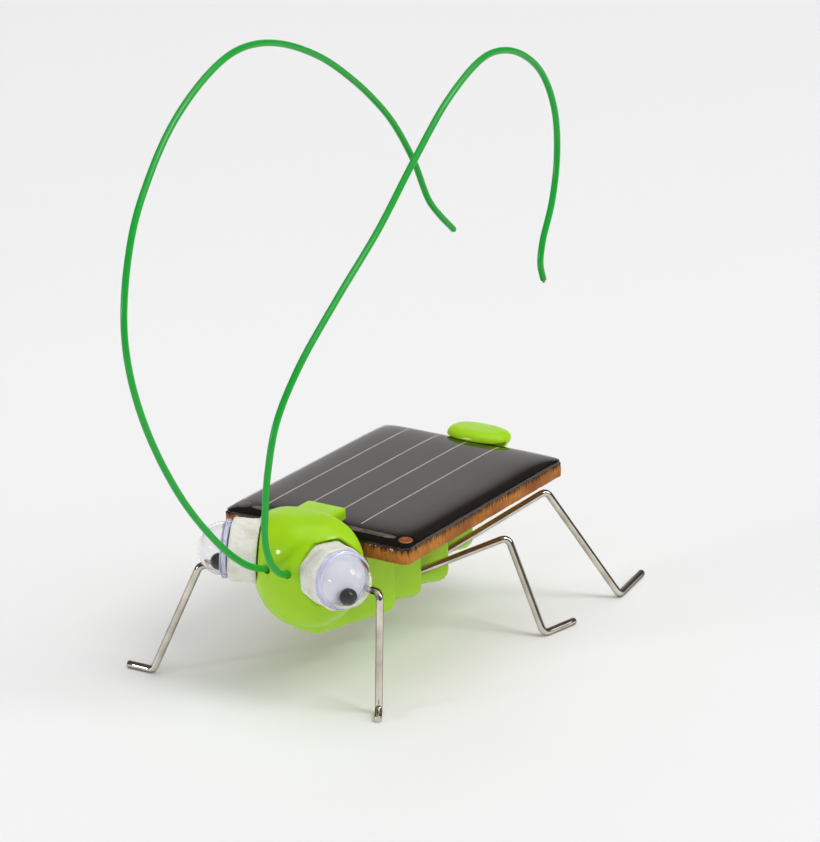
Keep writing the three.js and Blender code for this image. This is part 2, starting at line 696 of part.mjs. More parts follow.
function antennaPath(route) {
  const points = route.map((point) => new THREE.Vector3(...point));
  return new THREE.CatmullRomCurve3(points, false, 'centripetal');
}

// a straight rod on the antenna's tip, from "depth" inside the sheath to "reach" beyond it
function tipRod(route, depth, reach, radius) {
  const path = antennaPath(route);
  const tip = path.getPoint(1);
  const outward = path.getTangent(1);
  const start = tip.clone().addScaledVector(outward, -depth);
  const end = tip.clone().addScaledVector(outward, reach);
  return rod(start.toArray(), end.toArray(), radius, 8);
}

function antennaSheath(route) {
  const options = { steps: ANTENNA_STEPS, extrudePath: antennaPath(route) };
  const sheath = new THREE.ExtrudeGeometry(circleShape(ANTENNA_RADIUS, 8), options);
  return cut(sheath, [tipRod(route, ANTENNA_CORE_DEPTH + SOCKET_END_GAP, 1, ANTENNA_BORE_RADIUS)]);
}

function antennaCore(route) {
  return tipRod(route, ANTENNA_CORE_DEPTH, ANTENNA_CORE_SHOWS, ANTENNA_CORE_RADIUS);
}

// ---------- googly eyes ----------

function eyeFrame(side, height) {
  const outward = new THREE.Vector3(
    Math.sin(EYE_YAW) * Math.cos(EYE_PITCH),
    side * Math.cos(EYE_YAW) * Math.cos(EYE_PITCH),
    Math.sin(EYE_PITCH),
  );
  const across = new THREE.Vector3().crossVectors(AXIS_Z, outward).normalize();
  const upward = new THREE.Vector3().crossVectors(outward, across);
  return new THREE.Matrix4().makeBasis(across, upward, outward).setPosition(EYE_X, side * EYE_Y, height);
}

function arcProfile(radius, low, apex, count) {
  const points = [];
  for (let n = 0; n <= count; n += 1) {
    const angle = (Math.PI / 2) * (n / count);
    const reach = n === count ? 0 : radius * Math.cos(angle);
    points.push([reach, low + (apex - low) * Math.sin(angle)]);
  }
  return points;
}

function eyeDome() {
  const mouth = BACKING_RADIUS + BACKING_CLEARANCE;
  const inner = arcProfile(DOME_RADIUS - DOME_WALL, DOME_SEAT, DOME_APEX - DOME_WALL, 6);
  const outer = arcProfile(DOME_RADIUS, FLANGE_HALF, DOME_APEX, 6).reverse();
  const rim = [[FLANGE_RADIUS, FLANGE_HALF], [FLANGE_RADIUS, -FLANGE_HALF], [mouth, -FLANGE_HALF]];
  return turned([...outer, ...rim, [mouth, DOME_SEAT], ...inner], 24);
}

function eyeBacking() {
  const low = -FLANGE_HALF;
  return turned([[0, low], [BACKING_RADIUS, low], [BACKING_RADIUS, BACKING_TOP], [0, BACKING_TOP]], 24);
}

function eyePupil() {
  const flat = PUPIL_RADIUS - PUPIL_EDGE;
  const crown = arcProfile(PUPIL_RADIUS, PUPIL_CROWN, PUPIL_HIGH, 4);
  const profile = [[0, PUPIL_LOW], [flat, PUPIL_LOW], [PUPIL_RADIUS, PUPIL_LOW + PUPIL_EDGE], ...crown];
  return turned(profile, 14).translate(0, -PUPIL_DROP, 0);
}

function foamPad() {
  const pad = new THREE.CylinderGeometry(PAD_CORNER_RADIUS, PAD_CORNER_RADIUS, PAD_FRONT - PAD_BACK, 8);
  pad.rotateY(Math.PI / 8).rotateX(Math.PI / 2);
  return pad.translate(0, 0, (PAD_FRONT + PAD_BACK) / 2);
}

// ---------- motor ----------

function motorPiece(geometry) {
  const turn = new THREE.Matrix4().makeBasis(AXIS_Y, AXIS_Z, AXIS_X);
  return geometry.applyMatrix4(turn.setPosition(MOTOR_REAR_X, 0, MOTOR_HEIGHT));
}

function motorCan() {
  const inner = CAN_RADIUS - CAN_WALL;
  const mouth = CAN_MOUTH_RADIUS;
  const profile = [
    [mouth, 0], [CAN_RADIUS, 0], [CAN_RADIUS, CAN_LENGTH], [inner, CAN_LENGTH],
    [inner, CAN_FLOOR], [mouth, CAN_FLOOR], [mouth, 0],
  ];
  return motorPiece(turned(profile, 20));
}

function motorEndCap() {
  const pocket = CAP_START + CAP_POCKET_DEPTH;
  const end = CAP_START + CAP_THICKNESS;
  const profile = [
    [0, pocket], [CAP_POCKET_RADIUS, pocket], [CAP_POCKET_RADIUS, CAP_START],
    [CAN_RADIUS, CAP_START], [CAN_RADIUS, end], [0, end],
  ];
  return motorPiece(turned(profile, 20));
}

function motorRing(innerRadius, ring) {
  return motorPiece(sleeve(innerRadius, ring.outer, ring.low, ring.high, 20));
}

function motorShaft() {
  const profile = [[0, SHAFT_START], [SHAFT_RADIUS, SHAFT_START], [SHAFT_RADIUS, SHAFT_END], [0, SHAFT_END]];
  return motorPiece(turned(profile, 12));
}

function eccentricWeight() {
  const shape = new THREE.Shape();
  shape.absarc(0, 0, WEIGHT_RADIUS, Math.PI, 2 * Math.PI, false);
  shape.absarc(0, 0, WEIGHT_HUB_RADIUS, 0, Math.PI, false);
  const bore = new THREE.Path(circleShape(ROTOR_BORE, 12).getPoints().reverse());
  shape.holes.push(bore);
  const options = { depth: WEIGHT_LENGTH, bevelEnabled: false, curveSegments: 12 };
  return motorPiece(new THREE.ExtrudeGeometry(shape, options).translate(0, 0, WEIGHT_START));
}

function motorTape() {
  const low = BAY_FLOOR + LAYER_GAP;
  return box(TAPE_REAR, TAPE_FRONT, -TAPE_HALF_WIDTH, TAPE_HALF_WIDTH, low, low + TAPE_THICKNESS);
}

function leadWire(side) {
  const y = side * TERMINAL_Y;
  const route = [
    [LEAD_START_X, y, MOTOR_HEIGHT], [LEAD_BEND_X, y, MOTOR_HEIGHT],
    [SOLDER_X + SOLDER_RADIUS, y, LEAD_RISE], [SOLDER_X, y, LEAD_TOP],
  ];
  return bentWire(route, LEAD_RADIUS, LEAD_BEND_RADIUS);
}

function solderJoint(side) {
  const high = BOARD_BOTTOM - TRACE_GAP - 2 * TRACE_THICKNESS;
  const dome = arcProfile(SOLDER_RADIUS, high - TRACE_THICKNESS / 2, high - SOLDER_DROP, 4);
  const profile = [[0, high], [SOLDER_RADIUS, high], ...dome];
  return turned(profile, 12).translate(SOLDER_X, side * TERMINAL_Y, 0);
}

// ---------- assembly ----------

const kit = new THREE.Group();
kit.position.set(-OUTLINE_MIDDLE_X, -OUTLINE_MIDDLE_Y, 0);

function add(name, geometry, material, group = kit) {
  const mesh = new THREE.Mesh(geometry, material);
  mesh.name = name;
  group.add(mesh);
}

function addPanel() {
  add('circuit_board', circuitBoard(), PHENOLIC);
  add('resin_cover', resinCover(), CLEAR_RESIN);
  CELL_STARTS.forEach((start, index) => add(`solar_cell_${index + 1}`, cellStrip(index), SILICON));
  for (let index = 0; index < LINE_COUNT; index += 1) {
    add(`silver_line_${index + 1}`, silverLine(index), SILVER);
  }
  add('bus_ribbon', busRibbon(), RIBBON);
  for (const [name, side] of [['left', 1], ['right', -1]]) {
    add(`copper_eyelet_${name}`, copperEyelet(side), COPPER);
    add(`copper_trace_${name}`, copperTrace(side), COPPER);
    add(`solder_joint_${name}`, solderJoint(side), SILVER);
  }
}

function addMotor() {
  add('motor_can', motorCan(), STEEL);
  add('motor_end_cap', motorEndCap(), NYLON);
  add('motor_magnet', motorRing(MAGNET.inner, MAGNET), FERRITE);
  add('motor_armature', motorRing(ROTOR_BORE, ARMATURE), WINDING);
  add('motor_commutator', motorRing(ROTOR_BORE, COMMUTATOR), COPPER);
  add('motor_shaft', motorShaft(), STEEL);
  add('eccentric_weight', eccentricWeight(), STEEL);
  add('motor_tape', motorTape(), FOAM);
  add('lead_wire_red', leadWire(1), RED_WIRE);
  add('lead_wire_blue', leadWire(-1), BLUE_WIRE);
}

function addEye(name, side, height) {
  const eye = new THREE.Group();
  eyeFrame(side, height).decompose(eye.position, eye.quaternion, eye.scale);
  add(`foam_pad_${name}`, foamPad(), FOAM, eye);
  add(`eye_backing_${name}`, eyeBacking(), WHITE, eye);
  add(`eye_dome_${name}`, eyeDome(), CLEAR, eye);
  add(`pupil_${name}`, eyePupil(), BLACK, eye);
  kit.add(eye);
}

add('body_shell', bodyShell(), LIME);
addPanel();
addMotor();
for (const [name, leg] of Object.entries(LEGS)) {
  add(`leg_${name}`, wireLeg(leg), NICKEL);
}
for (const [name, route] of [['left', LEFT_ANTENNA], ['right', RIGHT_ANTENNA]]) {
  add(`antenna_sheath_${name}`, antennaSheath(route), GREEN_WIRE);
  add(`antenna_core_${name}`, antennaCore(route), COPPER);
}
addEye('left', 1, LEFT_EYE_HEIGHT);
addEye('right', -1, RIGHT_EYE_HEIGHT);

export default kit;
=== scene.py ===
import math

import bpy
import bmesh
from mathutils import Matrix, Vector, noise


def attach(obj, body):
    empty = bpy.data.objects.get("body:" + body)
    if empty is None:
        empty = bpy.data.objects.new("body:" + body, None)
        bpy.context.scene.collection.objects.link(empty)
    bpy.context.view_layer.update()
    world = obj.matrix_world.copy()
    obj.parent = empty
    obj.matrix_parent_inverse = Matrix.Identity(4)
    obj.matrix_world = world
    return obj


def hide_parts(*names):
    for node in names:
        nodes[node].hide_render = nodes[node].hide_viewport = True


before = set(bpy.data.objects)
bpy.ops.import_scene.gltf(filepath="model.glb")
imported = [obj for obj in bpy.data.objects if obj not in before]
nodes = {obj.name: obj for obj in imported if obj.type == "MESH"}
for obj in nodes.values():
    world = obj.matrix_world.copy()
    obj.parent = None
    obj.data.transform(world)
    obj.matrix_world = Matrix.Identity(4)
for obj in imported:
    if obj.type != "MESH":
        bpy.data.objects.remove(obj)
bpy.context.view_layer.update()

MM = 0.001
SHIFT = Vector((-5.69, 2.79, 0.0))  # from panel-centred millimetres to the shared frame

# ---------- dimensions, in panel-centred millimetres ----------

BOARD_LENGTH = 40.0
BOARD_WIDTH = 30.0
BOARD_BOTTOM = 20.0
BOARD_TOP = 22.0
CELL_STARTS = (-14.35, -10.25, -5.2, -0.15, 4.9, 9.95)
LINE_LOW = 22.28
LINE_THICKNESS = 0.058
RIBBON_LOW = 22.11
RIBBON_THICKNESS = 0.18
EYELET_X = 17.3
EYELET_Y = 13.0
LEAD_X = 14.1
LEAD_Y = 1.6
SHELL_TOP = 19.7
SLOT_END = 20.35
SLOT_HALF = BOARD_WIDTH / 2 + 0.4
MOTOR_BAY = (-3.9, 15.9, -3.3, 3.3, 9.3, SHELL_TOP + 0.5)
WEIGHT_BAY = (-16.5, -3.8, -3.3, 3.3, 13.6, SHELL_TOP + 0.5)
HEAD = Vector((21.3, 0.0, 17.3))
HEAD_RADIUS = 7.4
HEAD_HALF_HEIGHT = 8.2
HEAD_TOP_POWER = 2.8
BROW_WIDENING = 0.2
HOOK_REAR = 16.4
HOOK_FRONT = 21.6
HOOK_HALF = 3.1
HOOK_TOP = 24.9
HOOK_UNDERSIDE = 23.4
TAIL_FRONT = -17.9
TAIL_REAR = -23.8
TAIL_TOP = 24.1
TAIL_BASE = 12.6
TAIL_UNDERSIDE = 22.98
TAIL_HALF = 4.9
TAIL_CROWN = 1.15
CUP_CORNER = 2.4
# front, rear, half width at each, lowest point at each
CUPS = (
    (22.0, 8.8, 2.8, 5.5, 8.4, 7.0),
    (9.3, 2.2, 4.2, 5.5, 8.4, 7.0),
    (2.7, -4.7, 4.2, 5.5, 8.4, 7.0),
    (-4.2, -11.6, 4.1, 5.2, 10.4, 9.4),
    (-11.1, -18.5, 4.0, 4.8, 12.4, 11.6),
)
FIRST_CUP_NOSE = 0.9
TOE = 0.5
# hip, knee, ankle, toe
LEGS = {
    "front_left": ((19.1, 6.4, 15.3), (24.3, 13.5, 17.6), (23.9, 12.5, TOE), (26.5, 14.1, TOE)),
    "front_right": ((19.1, -6.3, 14.9), (26, -14.5, 16.5), (28.3, -21.5, TOE), (28.4, -25.7, TOE)),
    "middle_left": ((2.2, 4.5, 10.9), (-8, 13, 14.3), (-9.2, 17.9, TOE), (-15.2, 19.2, TOE)),
    "rear_left": ((-4.7, 4.5, 11.4), (-19, 12.5, 17.4), (-26.7, 19.8, TOE), (-35.4, 18.4, TOE)),
}
for part in ("middle", "rear"):
    LEGS[part + "_right"] = tuple((x, -y, z) for x, y, z in LEGS[part + "_left"])
LEG_RADIUS = 0.5
LEG_BEND = 1.2
LEG_HOLE_RADIUS = 0.62
SOCKET_DEPTH = 2.2
ANTENNA_RADIUS = 0.46
ANTENNA_HOLE_RADIUS = 0.58
CORE_RADIUS = 0.22
CORE_HOLE_RADIUS = 0.29
ROOT_X = 25.4
HOLE_Y = 1.65
HOLE_Z = 19.2
ANTENNAE = {
    "right": (
        (ROOT_X, -HOLE_Y, HOLE_Z), (28.2, -1.7, 19.3), (30.6, -2.0, 20.2), (32.8, -2.4, 21.6),
        (36.2, -3.3, 25.0), (41.6, -5.0, 32.9), (45.3, -7.1, 42.7), (46.4, -8.7, 51.0),
        (45.4, -9.9, 58.0), (41.1, -11.3, 67.3), (36.1, -12.0, 73.5), (30.3, -12.5, 78.7),
        (23.6, -12.6, 82.8), (17.4, -12.6, 85.0), (12.1, -12.5, 85.3), (5.4, -12.4, 83.9),
        (-2.5, -12.0, 80.4), (-8.9, -11.6, 76.1), (-14.0, -11.2, 71.8), (-17.7, -10.7, 67.7),
        (-21.2, -9.9, 61.7), (-23.4, -9.0, 55.6), (-25.2, -8.6, 53.2), (-28.3, -8.1, 50.1),
    ),
    "left": (
        (ROOT_X, HOLE_Y, HOLE_Z), (28.1, 1.7, 19.2), (29.7, 1.7, 19.7), (31.2, 1.8, 20.9),
        (32.6, 1.9, 22.8), (33.5, 2.0, 25.7), (33.6, 2.3, 30.2), (33.1, 2.6, 35.4),
        (31.4, 3.0, 41.5), (26.9, 3.5, 47.6), (18.5, 4.1, 54.8), (9.5, 4.7, 61.8),
        (1.7, 5.4, 69.4), (-6.2, 6.0, 76.2), (-14.0, 6.4, 79.9), (-19.1, 6.6, 79.9),
        (-24.3, 6.8, 77.9), (-28.4, 7.0, 74.4), (-30.9, 7.3, 68.8), (-30.9, 7.6, 62.5),
        (-28.8, 8.0, 56.4), (-25.6, 8.3, 51.2), (-24.7, 8.5, 48.4), (-25.3, 8.6, 46.0),
    ),
}
# which side, height of the middle
EYES = {"left": (1, 19.3), "right": (-1, 20.1)}
EYE_X = 26.7
EYE_Y = 9.5
EYE_YAW = math.radians(27)
EYE_PITCH = math.radians(4)
SEAT_RADIUS = 4.66
FOAM_RADIUS = 4.52
FOAM_BACK = -4.6
FOAM_DEPTH = 3.8
PUPIL_DROP = 2.0

# ---------- camera and studio ----------

CAMERA_AT = Vector((388.69, 269.66, 201.24))
CAMERA_AZIMUTH = 0.59035589
CAMERA_ELEVATION = 0.34256878
CAMERA_ROLL = -0.02484061
LENS = 158.466
SENSOR = 36.0
LAMP_TARGET = Vector((0.01, 0.0, 0.02))
WORLD_STRENGTH = 0.95
BRIGHT_SIDE = (-0.826, -0.553, 0.1)  # the world is bright behind the toy and dim elsewhere
BRIGHT_FROM, BRIGHT_TO = 0.86, 0.975
DIM = 0.12


def toward(azimuth, elevation):
    flat = math.cos(elevation)
    return Vector((flat * math.cos(azimuth), flat * math.sin(azimuth), math.sin(elevation)))


def add_camera():
    out = toward(CAMERA_AZIMUTH, CAMERA_ELEVATION)
    right = Vector((-math.sin(CAMERA_AZIMUTH), math.cos(CAMERA_AZIMUTH), 0.0))
    up = out.cross(right)
    rolled_right = math.cos(CAMERA_ROLL) * right + math.sin(CAMERA_ROLL) * up
    rolled_up = out.cross(rolled_right)
    camera = bpy.data.objects.new("camera", bpy.data.cameras.new("camera"))
    bpy.context.scene.collection.objects.link(camera)
    turn = Matrix((rolled_right, rolled_up, out)).transposed().to_4x4()
    camera.matrix_world = Matrix.Translation(CAMERA_AT * MM) @ turn
    camera.data.lens = LENS
    camera.data.sensor_width = SENSOR
    camera.data.clip_start = 0.01
    camera.data.clip_end = 20.0
    bpy.context.scene.camera = camera


def aim(obj, direction, distance, target):
    """Stands a lamp off in a direction and turns it back to the target."""
    obj.location = target + direction * distance
    obj.rotation_euler = direction.to_track_quat("Z", "Y").to_euler()


def softbox(name, azimuth, elevation, distance, size, power):
    lamp = bpy.data.lights.new(name, "AREA")
    lamp.shape = "RECTANGLE"
    lamp.size = size
    lamp.size_y = size * 1.2
    lamp.energy = power
    obj = bpy.data.objects.new(name, lamp)
    bpy.context.scene.collection.objects.link(obj)
    aim(obj, toward(math.radians(azimuth), math.radians(elevation)), distance, LAMP_TARGET)


def soft_sky(name, azimuth, elevation, spread, strength, mirrored=True):
    """A wide, far lamp. One that isn't mirrored lights the pieces but doesn't show in their gloss."""
    lamp = bpy.data.lights.new(name, "SUN")
    lamp.angle = math.radians(spread)
    lamp.energy = strength
    obj = bpy.data.objects.new(name, lamp)
    obj.visible_glossy = mirrored
    bpy.context.scene.collection.objects.link(obj)
    aim(obj, toward(math.radians(azimuth), math.radians(elevation)), 1.0, Vector())


def studio_world():
    world = bpy.data.worlds.new("studio")
    bpy.context.scene.world = world
    world.use_nodes = True
    tree = world.node_tree
    tree.nodes.clear()
    coords = tree.nodes.new("ShaderNodeTexCoord")
    dot = tree.nodes.new("ShaderNodeVectorMath")
    dot.operation = "DOT_PRODUCT"
    dot.inputs[1].default_value = BRIGHT_SIDE
    ramp = tree.nodes.new("ShaderNodeMapRange")
    ramp.interpolation_type = "SMOOTHSTEP"
    ramp.inputs["From Min"].default_value = BRIGHT_FROM
    ramp.inputs["From Max"].default_value = BRIGHT_TO
    ramp.inputs["To Min"].default_value = DIM
    ramp.inputs["To Max"].default_value = 1.0
    back = tree.nodes.new("ShaderNodeBackground")
    out = tree.nodes.new("ShaderNodeOutputWorld")
    scale = tree.nodes.new("ShaderNodeMath")
    scale.operation = "MULTIPLY"
    scale.inputs[1].default_value = WORLD_STRENGTH
    tree.links.new(coords.outputs["Generated"], dot.inputs[0])
    tree.links.new(dot.outputs["Value"], ramp.inputs["Value"])
    tree.links.new(ramp.outputs["Result"], scale.inputs[0])
    tree.links.new(scale.outputs[0], back.inputs["Strength"])
    tree.links.new(back.outputs[0], out.inputs[0])


# ---------- materials ----------


class Shader:
    """One Principled material, with short helpers for its procedural nodes."""

    def __init__(self, name, colour, roughness, metallic=0.0, **sockets):
        self.material = bpy.data.materials.new(name)
        self.material.use_nodes = True
        self.tree = self.material.node_tree
        self.base = self.tree.nodes["Principled BSDF"]
        self.base.inputs["Base Color"].default_value = (*colour, 1.0)
        self.base.inputs["Roughness"].default_value = roughness
        self.base.inputs["Metallic"].default_value = metallic
        for key, value in sockets.items():
            self.base.inputs[key.replace("_", " ")].default_value = value
        self.coords = self.tree.nodes.new("ShaderNodeTexCoord").outputs["Object"]

    def link(self, a, b):
        self.tree.links.new(a, b)

    def mapped(self, stretch):
        node = self.tree.nodes.new("ShaderNodeMapping")
        node.inputs["Scale"].default_value = stretch
        self.link(self.coords, node.inputs["Vector"])
        return node.outputs[0]

    def noise(self, per_mm, detail=3.0, stretch=(1, 1, 1), distortion=0.0):
        node = self.tree.nodes.new("ShaderNodeTexNoise")
        node.inputs["Scale"].default_value = per_mm / MM
        node.inputs["Detail"].default_value = detail
        node.inputs["Distortion"].default_value = distortion
        self.link(self.mapped(stretch), node.inputs["Vector"])
        return node.outputs["Fac"]

    def cells(self, per_mm):
        node = self.tree.nodes.new("ShaderNodeTexVoronoi")
        node.inputs["Scale"].default_value = per_mm / MM
        self.link(self.coords, node.inputs["Vector"])
        return node.outputs["Distance"]

    def ranged(self, source, low, high, to_low, to_high):
        node = self.tree.nodes.new("ShaderNodeMapRange")
        for key, value in (("From Min", low), ("From Max", high), ("To Min", to_low), ("To Max", to_high)):
            node.inputs[key].default_value = value
        self.link(source, node.inputs["Value"])
        return node.outputs["Result"]

    def math(self, operation, a, b):
        node = self.tree.nodes.new("ShaderNodeMath")
        node.operation = operation
        for socket, value in zip(node.inputs, (a, b)):
            if isinstance(value, (int, float)):
                socket.default_value = value
            else:
                self.link(value, socket)
        return node.outputs[0]

    def mix(self, factor, first, second):
        node = self.tree.nodes.new("ShaderNodeMix")
        node.data_type = "RGBA"
        self.link(factor, node.inputs["Factor"])
        for socket, value in ((node.inputs[6], first), (node.inputs[7], second)):
            if isinstance(value, tuple):
                socket.default_value = (*value, 1.0)
            else:
                self.link(value, socket)
        return node.outputs[2]

    def millimetres(self, axis):
        split = self.tree.nodes.new("ShaderNodeSeparateXYZ")
        self.link(self.coords, split.inputs[0])
        return self.math("MULTIPLY", split.outputs[axis], 1 / MM)

    def colour(self, source):
        self.link(source, self.base.inputs["Base Color"])

    def rough(self, source):
        self.link(source, self.base.inputs["Roughness"])

    def bump(self, source, depth_mm, strength=1.0):
        node = self.tree.nodes.new("ShaderNodeBump")
        node.inputs["Strength"].default_value = strength
        node.inputs["Distance"].default_value = depth_mm * MM
        self.link(source, node.inputs["Height"])
        self.link(node.outputs[0], self.base.inputs["Normal"])

    def lets_lamps_through(self, tint):
        """Clear pieces pass light straight on, so that what is under them is lit."""
        path = self.tree.nodes.new("ShaderNodeLightPath")
        clear = self.tree.nodes.new("ShaderNodeBsdfTransparent")
        clear.inputs["Color"].default_value = (*tint, 1.0)
        mixer = self.tree.nodes.new("ShaderNodeMixShader")
        self.link(path.outputs["Is Shadow Ray"], mixer.inputs[0])
        self.link(self.base.outputs[0], mixer.inputs[1])
        self.link(clear.outputs[0], mixer.inputs[2])
        self.link(mixer.outputs[0], self.tree.nodes["Material Output"].inputs["Surface"])


def darker(colour, by):
    return tuple(c * by for c in colour)


def moulded(name, colour, roughness, vary=0.06, **sockets):
    """Smooth moulded plastic: faint flow clouds, a fine satin grain and a few specks."""
    s = Shader(name, colour, roughness, **sockets)
    clouds = s.ranged(s.noise(0.12, 2.0), 0.3, 0.7, 0.0, 1.0)
    tone = s.mix(clouds, darker(colour, 1 - vary), tuple(min(1, c * (1 + vary)) for c in colour))
    speck = s.ranged(s.cells(0.07), 0.0, 0.010, 1.0, 0.0)
    s.colour(s.mix(speck, tone, darker(colour, 0.35)))
    s.rough(s.ranged(s.noise(0.7, 3.0), 0.3, 0.7, roughness * 0.92, roughness * 1.1))
    s.bump(s.noise(2.0, 3.0), 0.004, 0.4)
    return s.material


def drawn_metal(name, colour, roughness, stretch=(1, 1, 1), vary=0.15, metallic=1.0):
    """Drawn or rolled metal: fine streaks, patches of duller finish."""
    s = Shader(name, colour, roughness, metallic)
    streaks = s.noise(3.0, 4.0, stretch)
    patches = s.noise(0.25, 3.0)
    s.colour(s.mix(s.ranged(patches, 0.3, 0.7, 0, 1), colour, darker(colour, 1 - vary)))
    s.rough(s.ranged(s.math("ADD", streaks, patches), 0.7, 1.3, roughness * 0.7, roughness * 1.6))
    s.bump(streaks, 0.004, 0.35)
    return s.material


def speckled(name, colour, second, roughness, per_mm=2.0, depth=0.02, metallic=0.0):
    """Sintered, wound or papery surfaces: two tones of fine grain."""
    s = Shader(name, colour, roughness, metallic)
    grain = s.noise(per_mm, 5.0)
    s.colour(s.mix(s.ranged(grain, 0.35, 0.65, 0, 1), colour, second))
    s.rough(s.ranged(grain, 0.3, 0.7, roughness * 0.85, min(1, roughness * 1.15)))
    s.bump(grain, depth, 0.6)
    return s.material


def phenolic():
    """Cut paper laminate: orange-brown, with a scorched fringe that runs down from the top in streaks."""
    s = Shader("phenolic_board", (0.45, 0.16, 0.02), 0.6, Specular_IOR_Level=0.25)
    clouds = s.noise(0.16, 3.0)
    fibres = s.noise(2.6, 5.0, (1.0, 1.0, 0.3), 0.4)
    saw = s.noise(3.0, 3.0, (1.0, 1.0, 0.08))
    pale = s.mix(s.ranged(clouds, 0.35, 0.65, 0, 1), (0.25, 0.075, 0.009), (0.52, 0.20, 0.028))
    tone = s.mix(s.ranged(fibres, 0.4, 0.7, 0, 0.55), pale, (0.20, 0.052, 0.008))
    level = s.millimetres("Z")
    streaks = s.math("ADD", level, s.ranged(saw, 0.35, 0.65, -0.45, 0.30))
    fringe = s.ranged(streaks, 21.25, 21.95, 0.0, 0.93)
    scorched = s.mix(fringe, tone, (0.010, 0.005, 0.003))
    front = s.ranged(s.millimetres("X"), 13.6, 14.0, 0.0, 1.0)
    # Pale specks along the front top edge: resin drips there, their glints painted in as pale colour.
    drip_glint_specks = s.ranged(s.cells(1.3), 0.10, 0.17, 1.0, 0.0)
    painted_drip_glints = s.math("MULTIPLY", drip_glint_specks, s.ranged(level, 21.25, 21.5, 0.0, 1.0))
    s.colour(s.mix(s.math("MULTIPLY", painted_drip_glints, front), scorched, (0.90, 0.80, 0.66)))
    s.rough(s.ranged(saw, 0.3, 0.7, 0.5, 0.8))
    s.bump(s.math("ADD", fibres, saw), 0.05, 0.6)
    return s.material


def black_print():
    """The printed black border on the board's top, under the resin."""
    s = Shader("black_print", (0.003, 0.002, 0.002), 0.45, Specular_IOR_Level=0.04)
    grain = s.noise(1.5, 4.0)
    s.colour(s.mix(s.ranged(grain, 0.35, 0.65, 0, 1), (0.0015, 0.001, 0.0008), (0.004, 0.0025, 0.002)))
    s.rough(s.ranged(grain, 0.3, 0.7, 0.4, 0.6))
    s.bump(grain, 0.01, 0.4)
    return s.material


def silicon():
    """Dark brown solar cells with faint clouds and a fine grain."""
    s = Shader("silicon_cell", (0.010, 0.006, 0.005), 0.4, Specular_IOR_Level=0.05)
    clouds = s.noise(0.11, 3.0)
    grain = s.noise(2.4, 4.0)
    tone = s.mix(s.ranged(clouds, 0.3, 0.7, 0, 1), (0.009, 0.0055, 0.0045), (0.014, 0.0085, 0.007))
    s.colour(s.mix(s.ranged(grain, 0.45, 0.75, 0, 0.35), tone, (0.018, 0.0115, 0.0095)))
    s.rough(s.ranged(grain, 0.3, 0.7, 0.35, 0.5))
    s.bump(grain, 0.002, 0.1)
    return s.material


def resin():
    """Cast clear resin, faintly yellow, with slow waves in its skin and a few grains of dust."""
    s = Shader(
        "clear_resin", (0.93, 0.88, 0.84), 0.03, Transmission_Weight=1.0, IOR=1.52,
        Specular_Tint=(1.0, 0.92, 0.87, 1.0),
    )
    waves = s.noise(0.10, 2.0)
    s.colour(s.mix(s.ranged(waves, 0.3, 0.7, 0, 1), (0.92, 0.866, 0.822), (0.94, 0.894, 0.858)))
    dust = s.ranged(s.cells(0.35), 0.0, 0.02, 1.0, 0.0)
    s.rough(s.math("ADD", s.ranged(waves, 0.3, 0.7, 0.008, 0.03), s.math("MULTIPLY", dust, 0.15)))
    s.bump(waves, 0.03, 0.2)
    s.lets_lamps_through((0.93, 0.90, 0.87))
    return s.material


def clear_plastic(name, colour, roughness, weight, index, tint):
    """Pressed clear sheet: slow waves and light scuffs."""
    s = Shader(name, colour, roughness, Transmission_Weight=weight, IOR=index)
    waves = s.noise(0.35, 2.0)
    s.colour(s.mix(s.ranged(waves, 0.3, 0.7, 0, 1), darker(colour, 0.985), colour))
    scuffs = s.ranged(s.noise(3.0, 4.0, (1, 0.15, 1)), 0.66, 0.78, 0.0, 0.06)
    s.rough(s.math("ADD", s.ranged(waves, 0.3, 0.7, roughness, roughness * 2), scuffs))
    s.bump(waves, 0.04, 0.35)
    s.lets_lamps_through(tint)
    return s.material


def foam():
    """Cut foam: pale grain of burst cells with faint grubby patches."""
    s = Shader("foam", (0.86, 0.84, 0.77), 0.9, Subsurface_Weight=0.15, Subsurface_Scale=0.001)
    pores = s.cells(5.5)
    grit = s.noise(4.0, 5.0)
    dirt = s.ranged(s.noise(0.55, 4.0), 0.44, 0.75, 0.0, 0.6)
    tone = s.mix(s.ranged(pores, 0.0, 0.5, 0, 1), (0.66, 0.635, 0.56), (0.86, 0.845, 0.785))
    s.colour(s.mix(dirt, tone, (0.60, 0.54, 0.43)))
    s.rough(s.ranged(grit, 0.3, 0.7, 0.75, 1.0))
    s.bump(s.math("ADD", pores, grit), 0.09, 0.8)
    return s.material


def nickel_wire():
    """Plated steel wire: bright, with drawing streaks and duller patches; a nearly black edge tint paints
    dark reflections along its edges.
    """
    # The edge tint is nearly black: painted dark reflection along the wire's edges.
    s = Shader("nickel_wire", (0.76, 0.71, 0.64), 0.1, 1.0, Specular_Tint=(0.02, 0.015, 0.01, 1.0))
    streaks = s.noise(2.2, 4.0, (1, 1, 0.12))
    patches = s.noise(0.35, 3.0)
    s.colour(s.mix(s.ranged(patches, 0.35, 0.7, 0, 1), (0.72, 0.67, 0.60), (0.50, 0.45, 0.38)))
    s.rough(s.ranged(s.math("ADD", streaks, patches), 0.7, 1.4, 0.06, 0.2))
    s.bump(streaks, 0.01, 0.3)
    return s.material


def floor_material():
    s = Shader("studio_floor", (0.9, 0.9, 0.9), 0.6)
    soft = s.noise(0.004, 2.0)
    s.colour(s.mix(s.ranged(soft, 0.3, 0.7, 0, 1), (0.93, 0.93, 0.932), (0.942, 0.942, 0.942)))
    return s.material


